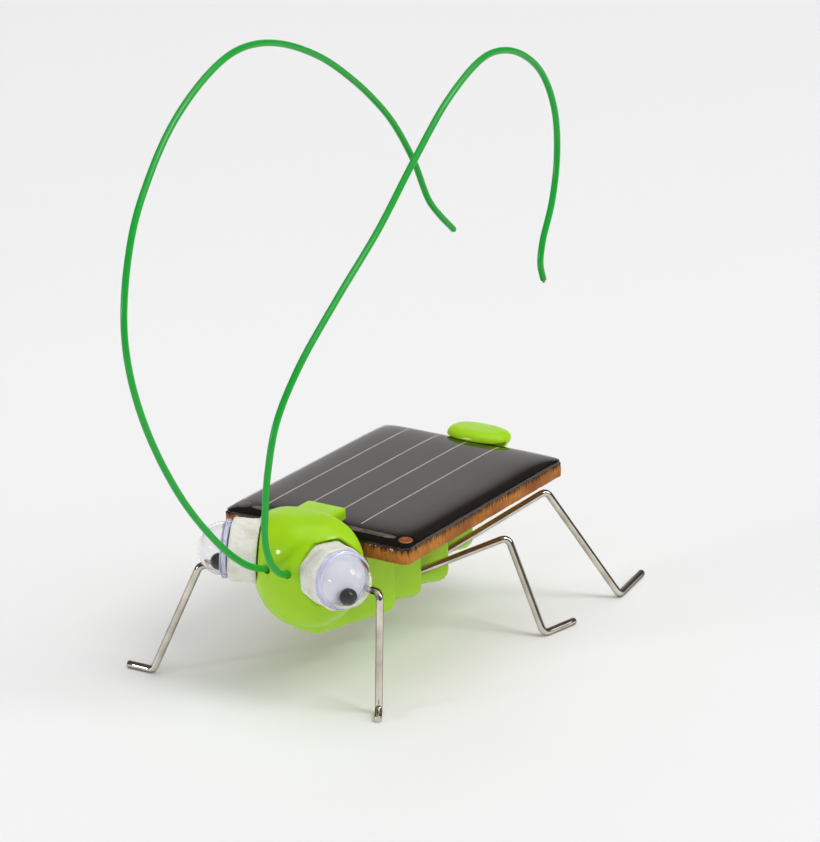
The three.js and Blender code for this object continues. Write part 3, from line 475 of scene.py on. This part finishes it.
LIME = moulded(
    "lime_plastic", (0.385, 0.70, 0.006), 0.42,
    Subsurface_Weight=0.35, Subsurface_Scale=0.002, Subsurface_Radius=(0.7, 1.0, 0.1),
    Specular_IOR_Level=0.2, Coat_Weight=0.4, Coat_Roughness=0.06, Coat_IOR=1.45,
)
GREEN = moulded(
    "green_pvc", (0.006, 0.37, 0.032), 0.3, vary=0.03,
    Specular_IOR_Level=0.35, Coat_Weight=0.15, Coat_Roughness=0.1,
)
BLACK = moulded("black_bead", (0.001, 0.001, 0.0012), 0.14, Specular_IOR_Level=0.28)
# The backing card is white; its colour is set to a light grey, as painted shade inside the dome.
WHITE = moulded("white_backing", (0.61, 0.615, 0.66), 0.45, vary=0.03)
RED_WIRE = moulded("red_pvc", (0.55, 0.02, 0.02), 0.35)
BLUE_WIRE = moulded("blue_pvc", (0.02, 0.06, 0.42), 0.35)
NYLON = moulded("nylon", (0.82, 0.80, 0.72), 0.5)
NICKEL = nickel_wire()
COPPER = drawn_metal("copper", (0.62, 0.22, 0.08), 0.35, metallic=0.7)
COPPER_AGED = drawn_metal("copper_aged", (0.07, 0.035, 0.02), 0.5, metallic=0.4)
SILVER = drawn_metal("silver_print", (0.62, 0.55, 0.47), 0.5, metallic=0.25)
RIBBON = speckled("tinned_ribbon", (0.24, 0.20, 0.17), (0.09, 0.07, 0.055), 0.45, per_mm=1.2, metallic=0.3)
SOLDER = drawn_metal("solder", (0.68, 0.68, 0.68), 0.25)
STEEL = drawn_metal("motor_steel", (0.58, 0.58, 0.60), 0.28, (0.1, 1, 1))
TUNGSTEN = speckled("tungsten", (0.36, 0.36, 0.38), (0.28, 0.28, 0.29), 0.5, metallic=0.9)
FERRITE = speckled("ferrite", (0.05, 0.05, 0.055), (0.03, 0.03, 0.03), 0.7)
WINDING = drawn_metal("winding", (0.45, 0.15, 0.06), 0.35, (0.1, 1, 1))
TAPE = speckled("tape", (0.80, 0.76, 0.66), (0.72, 0.67, 0.56), 0.8)
PHENOLIC = phenolic()
BLACK_PRINT = black_print()
SILICON = silicon()
RESIN = resin()
DOME = clear_plastic("clear_plastic", (0.96, 0.955, 0.975), 0.01, 1.0, 1.27, (0.95, 0.95, 0.97))
FLANGE = clear_plastic("clear_flange", (0.78, 0.80, 0.96), 0.10, 0.7, 1.48, (0.86, 0.88, 0.97))
FOAM = foam()

# ---------- mesh helpers ----------


def new_object(name, bm, materials):
    mesh = bpy.data.meshes.new(name)
    bm.normal_update()
    bm.to_mesh(mesh)
    bm.free()
    obj = bpy.data.objects.new(name, mesh)
    bpy.context.scene.collection.objects.link(obj)
    for material in materials:
        mesh.materials.append(material)
    return obj


def bake(obj):
    """Replaces an object's mesh by the result of its modifiers."""
    graph = bpy.context.evaluated_depsgraph_get()
    mesh = bpy.data.meshes.new_from_object(obj.evaluated_get(graph))
    obj.modifiers.clear()
    obj.data = mesh


def place(obj, body, replaced, angle=40):
    """Moves a piece from millimetres to the shared frame, smooths its shading and hangs it on its body."""
    obj.data.transform(Matrix.Scale(MM, 4) @ Matrix.Translation(SHIFT))
    obj.data.polygons.foreach_set("use_smooth", [True] * len(obj.data.polygons))
    obj.data.set_sharp_from_angle(angle=math.radians(angle))
    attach(obj, body)
    if replaced:
        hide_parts(*replaced)
    return obj


def grid_rings(bm, rings):
    """Skins a list of rings of points, each ring closed, with flat caps at both ends."""
    rows = [[bm.verts.new(p) for p in ring] for ring in rings]
    count = len(rows[0])
    for low, high in zip(rows, rows[1:]):
        for n in range(count):
            m = (n + 1) % count
            bm.faces.new((low[n], low[m], high[m], high[n]))
    bm.faces.new(list(reversed(rows[0])))
    bm.faces.new(rows[-1])
    return rows


def outward(bm):
    bmesh.ops.recalc_face_normals(bm, faces=bm.faces[:])


def circle(middle, side, other, radius, sides):
    angles = [2 * math.pi * k / sides for k in range(sides)]
    return [middle + radius * (math.cos(a) * side + math.sin(a) * other) for a in angles]


def tube(name, points, radii, sides, materials):
    """A round tube along points, with its ring carried along without twist."""
    bm = bmesh.new()
    tangents = []
    for n in range(len(points)):
        before = points[max(0, n - 1)]
        after = points[min(len(points) - 1, n + 1)]
        tangents.append((after - before).normalized())
    side = tangents[0].orthogonal().normalized()
    rings = []
    for point, tangent, radius in zip(points, tangents, radii):
        side = (side - tangent * side.dot(tangent)).normalized()
        rings.append(circle(point, side, tangent.cross(side), radius, sides))
    grid_rings(bm, rings)
    outward(bm)
    return new_object(name, bm, materials)


def bent_route(corners, bend, steps):
    """Straight runs joined by round bends."""
    corners = [Vector(c) for c in corners]
    points = [corners[0]]
    for n in range(1, len(corners) - 1):
        back = (corners[n - 1] - corners[n]).normalized()
        onward = (corners[n + 1] - corners[n]).normalized()
        setback = bend / math.tan(back.angle(onward) / 2)
        start = corners[n] + back * setback
        end = corners[n] + onward * setback
        for step in range(steps + 1):
            t = step / steps
            points.append(start * (1 - t) ** 2 + corners[n] * 2 * t * (1 - t) + end * t * t)
    points.append(corners[-1])
    return points


def subdivided(points, longest):
    """Adds points so that no step is longer than the longest."""
    fine = [points[0]]
    for a, b in zip(points, points[1:]):
        count = max(1, math.ceil((b - a).length / longest))
        fine.extend(a.lerp(b, k / count) for k in range(1, count + 1))
    return fine


def rounded_ends(points, radius, edge):
    """Extra rings at both ends, so that a cut end has a small rounded rim."""
    first = (points[1] - points[0]).normalized()
    last = (points[-1] - points[-2]).normalized()
    head = [points[0], points[0] + first * edge * 0.3, points[0] + first * edge]
    tail = [points[-1] - last * edge, points[-1] - last * edge * 0.3, points[-1]]
    inner = [p for p in points[1:-1] if (p - points[0]).length > edge and (p - points[-1]).length > edge]
    rim = [radius - edge, radius - edge * 0.3, radius]
    return head + inner + tail, rim + [radius] * len(inner) + rim[::-1]


def spline(points, steps):
    """Centripetal Catmull-Rom through the points, as the CAD route has it."""
    pts = [Vector(p) for p in points]
    pts = [pts[0] * 2 - pts[1]] + pts + [pts[-1] * 2 - pts[-2]]
    out = []
    for n in range(1, len(pts) - 2):
        p0, p1, p2, p3 = pts[n - 1:n + 3]
        d1 = max(1e-6, (p1 - p0).length ** 0.5)
        d2 = max(1e-6, (p2 - p1).length ** 0.5)
        d3 = max(1e-6, (p3 - p2).length ** 0.5)
        m1 = ((p1 - p0) / d1 - (p2 - p0) / (d1 + d2) + (p2 - p1) / d2) * d2
        m2 = ((p2 - p1) / d2 - (p3 - p1) / (d2 + d3) + (p3 - p2) / d3) * d2
        for k in range(steps):
            t = k / steps
            h = (2 * t ** 3 - 3 * t * t + 1, t ** 3 - 2 * t * t + t, 3 * t * t - 2 * t ** 3, t ** 3 - t * t)
            out.append(p1 * h[0] + m1 * h[1] + p2 * h[2] + m2 * h[3])
    return out + [pts[-2]]


def lathe(bm, profile, sides, matrix, material_of=None):
    """Turns [radius, height] pairs about the local Z axis; a radius of 0 makes a pole."""
    rows = []
    along, across = Vector((1, 0, 0)), Vector((0, 1, 0))
    for radius, height in profile:
        middle = Vector((0, 0, height))
        ring = [middle] if radius < 1e-6 else circle(middle, along, across, radius, sides)
        rows.append([bm.verts.new(matrix @ point) for point in ring])
    for n, (low, high) in enumerate(zip(rows, rows[1:])):
        for k in range(sides):
            m = (k + 1) % sides
            corners = (low[k % len(low)], low[m % len(low)], high[m % len(high)], high[k % len(high)])
            unique = list(dict.fromkeys(corners))
            if len(unique) > 2:
                face = bm.faces.new(unique)
                face.material_index = material_of(n) if material_of else 0


def box_mesh(x0, x1, y0, y1, z0, z1):
    bm = bmesh.new()
    bmesh.ops.create_cube(bm, size=1.0)
    bmesh.ops.scale(bm, vec=(x1 - x0, y1 - y0, z1 - z0), verts=bm.verts)
    bmesh.ops.translate(bm, vec=((x0 + x1) / 2, (y0 + y1) / 2, (z0 + z1) / 2), verts=bm.verts)
    return bm


def rod_mesh(start, end, radius, sides):
    bm = bmesh.new()
    start, end = Vector(start), Vector(end)
    axis = (end - start).normalized()
    side = axis.orthogonal().normalized()
    grid_rings(bm, [circle(point, side, axis.cross(side), radius, sides) for point in (start, end)])
    outward(bm)
    return bm


def subtract(obj, cutters):
    """Cuts each closed cutter mesh out of obj."""
    for n, bm in enumerate(cutters):
        outward(bm)
        tool = new_object(f"cutter_{n}", bm, [])
        cut = obj.modifiers.new("cut", "BOOLEAN")
        cut.operation = "DIFFERENCE"
        cut.solver = "MANIFOLD"
        cut.object = tool
        bpy.context.view_layer.update()
        bake(obj)
        bpy.data.objects.remove(tool)


def remesh(obj):
    """Joins overlapping closed shapes into one even skin."""
    blank = obj.modifiers.new("blank", "REMESH")
    blank.mode = "VOXEL"
    blank.voxel_size = 0.2
    bpy.context.view_layer.update()
    bake(obj)


def without_flakes(obj):
    """Clears the needless points and zero-area faces that cuts leave along straight edges."""
    bm = bmesh.new()
    bm.from_mesh(obj.data)
    bmesh.ops.dissolve_limit(bm, angle_limit=math.radians(0.02), verts=bm.verts, edges=bm.edges)
    bmesh.ops.triangulate(bm, faces=bm.faces, ngon_method="BEAUTY")
    bmesh.ops.dissolve_degenerate(bm, dist=0.001, edges=bm.edges)
    bm.to_mesh(obj.data)
    bm.free()


# ---------- the moulding ----------


def smoothstep(value, low, high):
    t = min(1.0, max(0.0, (value - low) / (high - low)))
    return t * t * (3 - 2 * t)


def head_rings(bm):
    """The head is a ball with a fuller top and wider brows, cut flat where the panel lies."""
    around, levels = 96, 64
    rings = []
    for i in range(1, levels):
        polar = math.pi * i / levels
        up = -math.cos(polar)
        spread = math.sin(polar)
        if up > 0:
            spread = max(0.0, 1 - up ** HEAD_TOP_POWER) ** (1 / HEAD_TOP_POWER)
        z = HEAD.z + HEAD_HALF_HEIGHT * up
        wide = 1 + BROW_WIDENING * smoothstep(z, 15, 21)
        ring = []
        for k in range(around):
            angle = 2 * math.pi * k / around
            x = HEAD.x + HEAD_RADIUS * spread * math.cos(angle)
            y = HEAD_RADIUS * spread * wide * math.sin(angle)
            ring.append((max(x, SLOT_END) if z > SHELL_TOP - 1 else x, y, z))
        rings.append(ring)
    grid_rings(bm, rings)


def cup_rings(bm, cup):
    """An abdomen cup flares from front to rear, with round lower corners; the first has a round nose."""
    front, rear, front_half, rear_half, front_low, rear_low = cup
    steps, nose_steps = 8, 4
    nose = FIRST_CUP_NOSE if cup is CUPS[0] else 0.0
    rings = []
    for step in range(steps + 1 + (nose_steps if nose else 0)):
        t = min(1.0, step / steps)
        past = max(0, step - steps) / nose_steps
        inset = 1.3 * (1 - math.sqrt(1 - past * past * 0.96))
        x = rear + (front - rear) * t + nose * past
        half = rear_half + (front_half - rear_half) * t - inset
        low = rear_low + (front_low - rear_low) * t + inset
        ring = [(x, half, SHELL_TOP), (x, -half, SHELL_TOP)]
        round_y = CUP_CORNER * half / rear_half
        for side, start in ((-1, math.pi), (1, 1.5 * math.pi)):
            for k in range(11):
                angle = start + math.pi / 2 * k / 10
                y = side * (half - round_y) + round_y * math.cos(angle)
                ring.append((x, y, low + CUP_CORNER + CUP_CORNER * math.sin(angle)))
        rings.append(ring)
    grid_rings(bm, rings)


def tail_rings(bm):
    """The clip's outline is a rounded oval; its top is a puffy pad."""
    middle = (TAIL_FRONT + TAIL_REAR) / 2
    rings = []
    for k in range(41):
        z = TAIL_BASE + (TAIL_TOP - TAIL_BASE) * (1 - (1 - k / 40) ** 1.6)
        rise = min(1.0, (z - TAIL_BASE) / (SHELL_TOP - TAIL_BASE))
        neck = 0.7 + 0.16 * rise + 0.14 * smoothstep(z, 21.6, TAIL_UNDERSIDE)
        crown = max(0.0, (z - (TAIL_TOP - TAIL_CROWN)) / TAIL_CROWN)
        inset = 1.5 * (1 - math.sqrt(max(0.0, 1 - crown ** 2)))
        ring = []
        for n in range(72):
            angle = 2 * math.pi * n / 72
            x = math.copysign(abs(math.cos(angle)) ** 0.8, math.cos(angle))
            y = math.copysign(abs(math.sin(angle)) ** 0.8, math.sin(angle))
            along = (TAIL_FRONT - TAIL_REAR) / 2 - inset
            reach = middle + x * along if x > 0 else TAIL_FRONT + (middle - TAIL_FRONT + x * along) * neck
            ring.append((reach, neck * (TAIL_HALF - inset) * y + 0.35 * rise, z))
        rings.append(ring)
    grid_rings(bm, rings)


def moulding_blank():
    """The whole moulding before the slot, bay and sockets are cut, its edges softened."""
    bm = bmesh.new()
    head_rings(bm)
    for cup in CUPS:
        cup_rings(bm, cup)
    tail_rings(bm)
    hook = box_mesh(HOOK_REAR, HOOK_FRONT, -HOOK_HALF, HOOK_HALF, SHELL_TOP - 2, HOOK_TOP)
    scrap = bpy.data.meshes.new("hook")
    hook.to_mesh(scrap)
    hook.free()
    bm.from_mesh(scrap)
    outward(bm)
    obj = new_object("lime_moulding", bm, [LIME])
    remesh(obj)
    subtract(obj, [seat_mesh(eye_matrix(side, height), 0.4) for side, height in EYES.values()])
    remesh(obj)
    soft = obj.modifiers.new("soft", "SMOOTH")
    soft.factor = 0.5
    soft.iterations = 14
    bpy.context.view_layer.update()
    bake(obj)
    return obj


def eye_matrix(side, height):
    """An eye's own frame: its middle at the origin, looking along Z, with Y up."""
    out = Vector((
        math.sin(EYE_YAW) * math.cos(EYE_PITCH),
        side * math.cos(EYE_YAW) * math.cos(EYE_PITCH),
        math.sin(EYE_PITCH),
    ))
    across = Vector((0, 0, 1)).cross(out).normalized()
    up = out.cross(across)
    turn = Matrix((across, up, out)).transposed().to_4x4()
    return Matrix.Translation(Vector((EYE_X, side * EYE_Y, height))) @ turn


def seat_mesh(matrix, flare):
    """The eight-sided hollow that a foam pad sits in, opening outwards by the flare."""
    bm = bmesh.new()
    rings = []
    for z, radius in ((-4.8, SEAT_RADIUS), (-2.6, SEAT_RADIUS + flare), (3.2, SEAT_RADIUS + flare)):
        angles = [math.radians(22.5 + 45 * k) for k in range(8)]
        rings.append([matrix @ Vector((radius * math.cos(a), radius * math.sin(a), z)) for a in angles])
    grid_rings(bm, rings)
    return bm


def moulding():
    obj = moulding_blank()
    cutters = [
        box_mesh(-SLOT_END, 1, -SLOT_HALF, SLOT_HALF, SHELL_TOP, TAIL_UNDERSIDE),
        box_mesh(0, SLOT_END, -SLOT_HALF, SLOT_HALF, SHELL_TOP, HOOK_UNDERSIDE),
        box_mesh(*MOTOR_BAY),
        box_mesh(*WEIGHT_BAY),
    ]
    for hip, knee, _, _ in LEGS.values():
        hip, knee = Vector(hip), Vector(knee)
        run = (knee - hip).normalized()
        cutters.append(rod_mesh(hip - run * (SOCKET_DEPTH + 0.3), hip + run * 1.6, LEG_HOLE_RADIUS, 20))
    for side, height in EYES.values():
        cutters.append(seat_mesh(eye_matrix(side, height), 0.0))
        start = (ROOT_X - 0.3, side * HOLE_Y, HOLE_Z)
        end = (HEAD.x + HEAD_RADIUS + 1, side * HOLE_Y, HOLE_Z)
        cutters.append(rod_mesh(start, end, ANTENNA_HOLE_RADIUS, 24))
    subtract(obj, cutters)
    without_flakes(obj)
    return place(obj, "body", ["body_shell"], 35)


# ---------- the panel ----------


def rectangle_outline(length, width, corner, spacing):
    """Points round a rectangle with round corners, evenly spaced, with their outward directions."""
    out = []
    half_x, half_y = length / 2 - corner, width / 2 - corner
    corners = ((half_x, half_y, 0), (-half_x, half_y, 90), (-half_x, -half_y, 180), (half_x, -half_y, 270))
    for n, (x, y, start) in enumerate(corners):
        middle = Vector((x, y, 0))
        for k in range(8):
            away = toward(math.radians(start + 90 * k / 8), 0.0)
            out.append((middle + away * corner, away))
        away = toward(math.radians(start + 90), 0.0)
        end = middle + away * corner
        x, y, _ = corners[(n + 1) % 4]
        following = Vector((x, y, 0)) + away * corner
        count = int((following - end).length / spacing)
        out.extend((end.lerp(following, k / count), away) for k in range(count))
    return out


def board():
    """The laminate has roughly sawn sides, broken edges and a black printed top."""
    outline = rectangle_outline(BOARD_LENGTH, BOARD_WIDTH, 1.2, 0.22)
    bm = bmesh.new()
    rings = []
    middle_levels = [(BOARD_BOTTOM + lift, 0.0) for lift in (0.5, 1.0, 1.5)]
    levels = [(BOARD_BOTTOM, 0.16), (20.08, 0.03)] + middle_levels + [(21.9, 0.03), (BOARD_TOP, 0.14)]
    for level, inset in levels:
        ring = []
        for point, out in outline:
            at = Vector((point.x * 1.7, point.y * 1.7, level * 1.3))
            rough = 0.09 * noise.noise(at) + 0.05 * noise.noise(at * 3.1) - 0.09
            ring.append(point + out * (rough - inset) + Vector((0, 0, level)))
        rings.append(ring)
    top = set(grid_rings(bm, rings)[-1])
    outward(bm)
    for face in bm.faces:
        if top.issuperset(face.verts):
            face.material_index = 1
    obj = new_object("board_laminate", bm, [PHENOLIC, BLACK_PRINT])
    holes = [(Vector((EYELET_X, side * EYELET_Y, 0)), 0.65) for side in (-1, 1)]
    subtract(obj, [rod_mesh(at + Vector((0, 0, 19)), at + Vector((0, 0, 23)), r, 24) for at, r in holes])
    return place(obj, "body", ["circuit_board"], 50)


def resin_height(x, y):
    """Surface tension leaves a flat middle that rolls off towards the board's edges."""
    along = 1 - min(1.0, abs(2 * x / BOARD_LENGTH)) ** 8
    across = 1 - min(1.0, abs(2 * y / BOARD_WIDTH)) ** 8
    dip = 0.02 * noise.noise(Vector((x * 0.12, y * 0.12, 3.0)))
    return BOARD_TOP + 0.04 + 1.16 * math.sqrt(along * across) + dip * along * across


def resin_cover():
    """One solid that reaches just into the board's top, so no air gap doubles the reflection."""
    length, width = BOARD_LENGTH - 0.4, BOARD_WIDTH - 0.4
    columns, rows = 96, 76
    bm = bmesh.new()

    def spread(n, count, half):
        return half * math.sin(math.pi / 2 * (2 * n / count - 1))

    def corner(x, y):
        """Pulls the block's square corners round."""
        r = 1.3
        ex, ey = abs(x) - (length / 2 - r), abs(y) - (width / 2 - r)
        if ex > 0 and ey > 0 and math.hypot(ex, ey) > r:
            k = r / math.hypot(ex, ey)
            return math.copysign(length / 2 - r + ex * k, x), math.copysign(width / 2 - r + ey * k, y)
        return x, y

    top, low = [], []  # grids of points; the low one only has its border
    for i in range(columns + 1):
        top.append([])
        low.append([])
        for j in range(rows + 1):
            x, y = corner(spread(i, columns, length / 2), spread(j, rows, width / 2))
            edge = i in (0, columns) or j in (0, rows)
            top[-1].append(bm.verts.new((x, y, resin_height(x, y))))
            low[-1].append(bm.verts.new((x, y, BOARD_TOP - 0.06)) if edge else None)
    for i in range(columns):
        for j in range(rows):
            bm.faces.new((top[i][j], top[i + 1][j], top[i + 1][j + 1], top[i][j + 1]))
    border = [(i, 0) for i in range(columns)] + [(columns, j) for j in range(rows)]
    border += [(i, rows) for i in range(columns, 0, -1)] + [(0, j) for j in range(rows, 0, -1)]
    for (a, b), (c, d) in zip(border, border[1:] + border[:1]):
        bm.faces.new((low[a][b], low[c][d], top[c][d], top[a][b]))
    bm.faces.new([low[a][b] for a, b in reversed(border)])
    outward(bm)
    obj = new_object("resin_dome", bm, [RESIN])
    return place(obj, "body", ["resin_cover"], 30)


def strip(name, route, half_widths, low, thickness, material, replaced):
    """A flat strip with rounded long edges, along a route in the panel's plane."""
    bm = bmesh.new()
    rings = []
    for n, (x, y) in enumerate(route):
        ax, ay = route[max(0, n - 1)]
        bx, by = route[min(len(route) - 1, n + 1)]
        side = Vector((-(by - ay), bx - ax, 0)).normalized()
        middle = Vector((x, y, low + thickness / 2))
        ring = []
        for k in range(12):
            angle = 2 * math.pi * k / 12
            across = math.copysign(abs(math.cos(angle)) ** 0.6, math.cos(angle))
            lift = math.copysign(abs(math.sin(angle)) ** 0.7, math.sin(angle))
            ring.append(middle + side * half_widths[n] * across + Vector((0, 0, lift * thickness / 2)))
        rings.append(ring)
    grid_rings(bm, rings)
    outward(bm)
    obj = new_object(name, bm, [material])
    return place(obj, "body", replaced, 50)


def silver_lines():
    steps = 60
    for n in range(5):
        y = CELL_STARTS[n] + 0.2
        route = []
        halves = []
        for k in range(steps + 1):
            x = -18.4 + 34.3 * k / steps
            sway = 0.035 * noise.noise(Vector((x * 0.25, n * 7.0, 0)))
            route.append((x, y + sway))
            halves.append(0.105 + 0.015 * noise.noise(Vector((k * 0.9, n * 3.0, 5))))
        line = f"silver_line_{n + 1}"
        strip(f"{line}_print", route, halves, LINE_LOW, LINE_THICKNESS, SILVER, [line])


def bus_ribbon():
    steps = 80
    route = []
    halves = []
    for k in range(steps + 1):
        y = -11.55 + 23.1 * k / steps
        route.append((17.5 + 0.05 * noise.noise(Vector((y * 0.5, 2, 0))), y))
        halves.append(0.30 + 0.16 * smoothstep(min(k, steps - k) / steps, 0.0, 0.05))
    name = "bus_ribbon_tinned"
    strip(name, route, halves, RIBBON_LOW, RIBBON_THICKNESS, RIBBON, ["bus_ribbon"])


def eyelets():
    """A rolled copper rim on top, a shank through the board and a flat foot below."""
    rim = [(0, 22.13), (0.28, 22.14), (0.42, 22.19), (0.58, 22.235), (0.74, 22.23), (0.88, 22.19)]
    shank = [(0.94, 22.14), (0.93, 22.1), (0.45, 22.1), (0.45, 19.7)]
    foot = [(0.83, 19.7), (0.85, 19.63), (0.78, 19.57), (0.5, 19.55), (0, 19.56)]
    for name, side, metal in (("left", 1, COPPER), ("right", -1, COPPER_AGED)):
        bm = bmesh.new()
        lathe(bm, rim + shank + foot, 40, Matrix.Translation(Vector((EYELET_X, side * EYELET_Y, 0))))
        outward(bm)
        place(new_object(f"eyelet_{name}", bm, [metal]), "body", [f"copper_eyelet_{name}"], 45)


def solder_beads():
    for name, side in (("left", 1), ("right", -1)):
        bm = bmesh.new()
        profile = [(0, 19.74), (0.83, 19.74), (0.85, 19.70)]
        for k in range(1, 9):
            angle = math.pi / 2 * k / 8
            profile.append((0.85 * math.cos(angle) if k < 8 else 0, 19.70 - 0.53 * math.sin(angle) ** 1.3))
        lathe(bm, profile, 32, Matrix.Translation(Vector((LEAD_X, side * LEAD_Y, 0))))
        outward(bm)
        place(new_object(f"solder_bead_{name}", bm, [SOLDER]), "body", [f"solder_joint_{name}"], 45)


# ---------- wires ----------


def wire_legs():
    for name, (hip, knee, ankle, toe) in LEGS.items():
        hip, knee = Vector(hip), Vector(knee)
        root = hip - (knee - hip).normalized() * SOCKET_DEPTH
        route = subdivided(bent_route([root, knee, ankle, toe], LEG_BEND, 12), 1.2)
        points, radii = rounded_ends(route, LEG_RADIUS, 0.09)
        obj = tube(f"wire_leg_{name}", points, radii, 24, [NICKEL])
        place(obj, f"{name}_leg", [f"leg_{name}"], 45)


def antennae():
    """Plastic-covered wire, hollow at the tip so that the copper core shows."""
    for name, route in ANTENNAE.items():
        points, radii = rounded_ends(spline(route, 14), ANTENNA_RADIUS, 0.06)
        wobble = [r * (1 + 0.02 * noise.noise(p * 0.4)) for r, p in zip(radii, points)]
        sheath = tube(f"antenna_{name}_cover", points, wobble, 20, [GREEN])
        tip = points[-1]
        run = (points[-1] - points[-3]).normalized()
        subtract(sheath, [rod_mesh(tip - run * 1.2, tip + run, CORE_HOLE_RADIUS, 20)])
        place(sheath, f"{name}_antenna", [f"antenna_sheath_{name}"], 45)
        core = subdivided([tip - run * 0.9, tip + run * 0.4], 0.3)
        points, radii = rounded_ends(core, CORE_RADIUS, 0.06)
        obj = tube(f"antenna_{name}_core", points, radii, 16, [COPPER])
        place(obj, f"{name}_antenna", [f"antenna_core_{name}"], 45)


# ---------- eyes ----------


def arc(radius, low, apex, count):
    """A quarter of an ellipse from the rim at the low level to the apex, as lathe pairs."""
    angles = [math.pi / 2 * k / count for k in range(count)]
    return [(radius * math.cos(a), low + (apex - low) * math.sin(a)) for a in angles] + [(0.0, apex)]


def eye_dome(name, matrix):
    """A thin clear dome with a folded flange of thicker, bluish plastic round it."""
    outer = list(reversed(arc(3.62, 0.34, 3.8, 22)))
    inner = arc(3.36, 0.1, 3.5, 22)
    rim = [(3.70, 0.24), (3.86, 0.21), (3.97, 0.12), (4.0, 0.02), (3.98, -0.1), (3.9, -0.15), (3.98, -0.2)]
    rim += [(4.0, -0.32), (3.97, -0.44), (3.88, -0.5), (3.58, -0.5), (3.55, -0.4), (3.55, 0.0), (3.45, 0.04)]
    profile = outer + rim + inner
    flange = range(len(outer) - 1, len(outer) + len(rim) - 2)
    bm = bmesh.new()
    lathe(bm, profile, 72, matrix, lambda n: int(n in flange))
    outward(bm)
    obj = new_object(f"eye_{name}_dome", bm, [DOME, FLANGE])
    place(obj, "body", [f"eye_dome_{name}"], 50)


def eye_backing(name, matrix):
    bm = bmesh.new()
    profile = [(0, -0.07), (3.0, -0.06), (3.25, -0.08), (3.34, -0.14), (3.35, -0.42), (3.3, -0.5), (0, -0.5)]
    lathe(bm, profile, 56, matrix)
    outward(bm)
    place(new_object(f"eye_{name}_card", bm, [WHITE]), "body", [f"eye_backing_{name}"], 40)


def pupil(name, matrix):
    bm = bmesh.new()
    profile = [(0, 0.2), (0.62, 0.2), (0.9, 0.27), (1.08, 0.42), (1.18, 0.65)] + arc(1.2, 1.0, 2.1, 12)
    lathe(bm, profile, 48, matrix @ Matrix.Translation(Vector((0, -PUPIL_DROP, 0))))
    outward(bm)
    place(new_object(f"bead_{name}", bm, [BLACK]), f"{name}_pupil", [f"pupil_{name}"], 60)


def foam_pad(name, matrix):
    """An eight-sided block of foam, cut by hand: its sides bow a little and its edges are ragged."""
    bm = bmesh.new()
    levels, around = 16, 12
    rings = []
    for i in range(levels + 1):
        t = i / levels
        z = FOAM_BACK + FOAM_DEPTH * t
        ease = 0.22 * (1 - min(1.0, min(t, 1 - t) * levels / 1.5)) ** 2
        waist = 1 - 0.03 * math.sin(math.pi * t)
        ring = []
        for side in range(8):
            a = toward(math.radians(22.5 + 45 * side), 0.0)
            b = toward(math.radians(67.5 + 45 * side), 0.0)
            for k in range(around):
                flat = a.lerp(b, k / around)
                soft = 0.12 * (1 - min(1.0, min(k, around - k) / 1.5))
                radius = (FOAM_RADIUS - ease - soft) * waist
                at = flat * radius + Vector((0, 0, z))
                rough = 0.07 * noise.noise(at * 1.3 + Vector((9, 0, 0))) + 0.05 * noise.noise(at * 4.0)
                ring.append(matrix @ (at + flat.normalized() * rough))
        rings.append(ring)
    grid_rings(bm, rings)
    outward(bm)
    obj = place(new_object(f"foam_block_{name}", bm, [FOAM]), "body", [f"foam_pad_{name}"], 50)


def eyes():
    for name, (side, height) in EYES.items():
        matrix = eye_matrix(side, height)
        foam_pad(name, matrix)
        eye_backing(name, matrix)
        eye_dome(name, matrix)
        pupil(name, matrix)


# ---------- carried-over CAD pieces ----------


def paint(names, material):
    for name in names:
        data = nodes[name].data
        data.materials.clear()
        data.materials.append(material)


def paint_cad_pieces():
    paint([f"solar_cell_{n}" for n in range(1, 7)], SILICON)
    paint(["copper_trace_left", "copper_trace_right", "motor_commutator"], COPPER)
    paint(["motor_can", "motor_shaft"], STEEL)
    paint(["motor_end_cap"], NYLON)
    paint(["motor_magnet"], FERRITE)
    paint(["motor_armature"], WINDING)
    paint(["eccentric_weight"], TUNGSTEN)
    paint(["motor_tape"], TAPE)
    paint(["lead_wire_red"], RED_WIRE)
    paint(["lead_wire_blue"], BLUE_WIRE)


def floor():
    bm = bmesh.new()
    bmesh.ops.create_grid(bm, x_segments=8, y_segments=8, size=4.0)
    new_object("floor", bm, [floor_material()])


add_camera()
studio_world()
soft_sky("overhead", 0, 90, 56, 0.75)
soft_sky("backdrop", 214, 40, 120, 0.82, mirrored=False)
soft_sky("side", 112, 28, 26, 0.55)
soft_sky("front", 20, 30, 90, 0.62, mirrored=False)
softbox("key", 93, 50, 3.0, 0.95, 32.0)
softbox("fill", -33, 13, 3.0, 0.28, 16.0)
bpy.context.scene.view_settings.view_transform = "Standard"
floor()
moulding()
board()
resin_cover()
silver_lines()
bus_ribbon()
eyelets()
solder_beads()
wire_legs()
antennae()
eyes()
paint_cad_pieces()
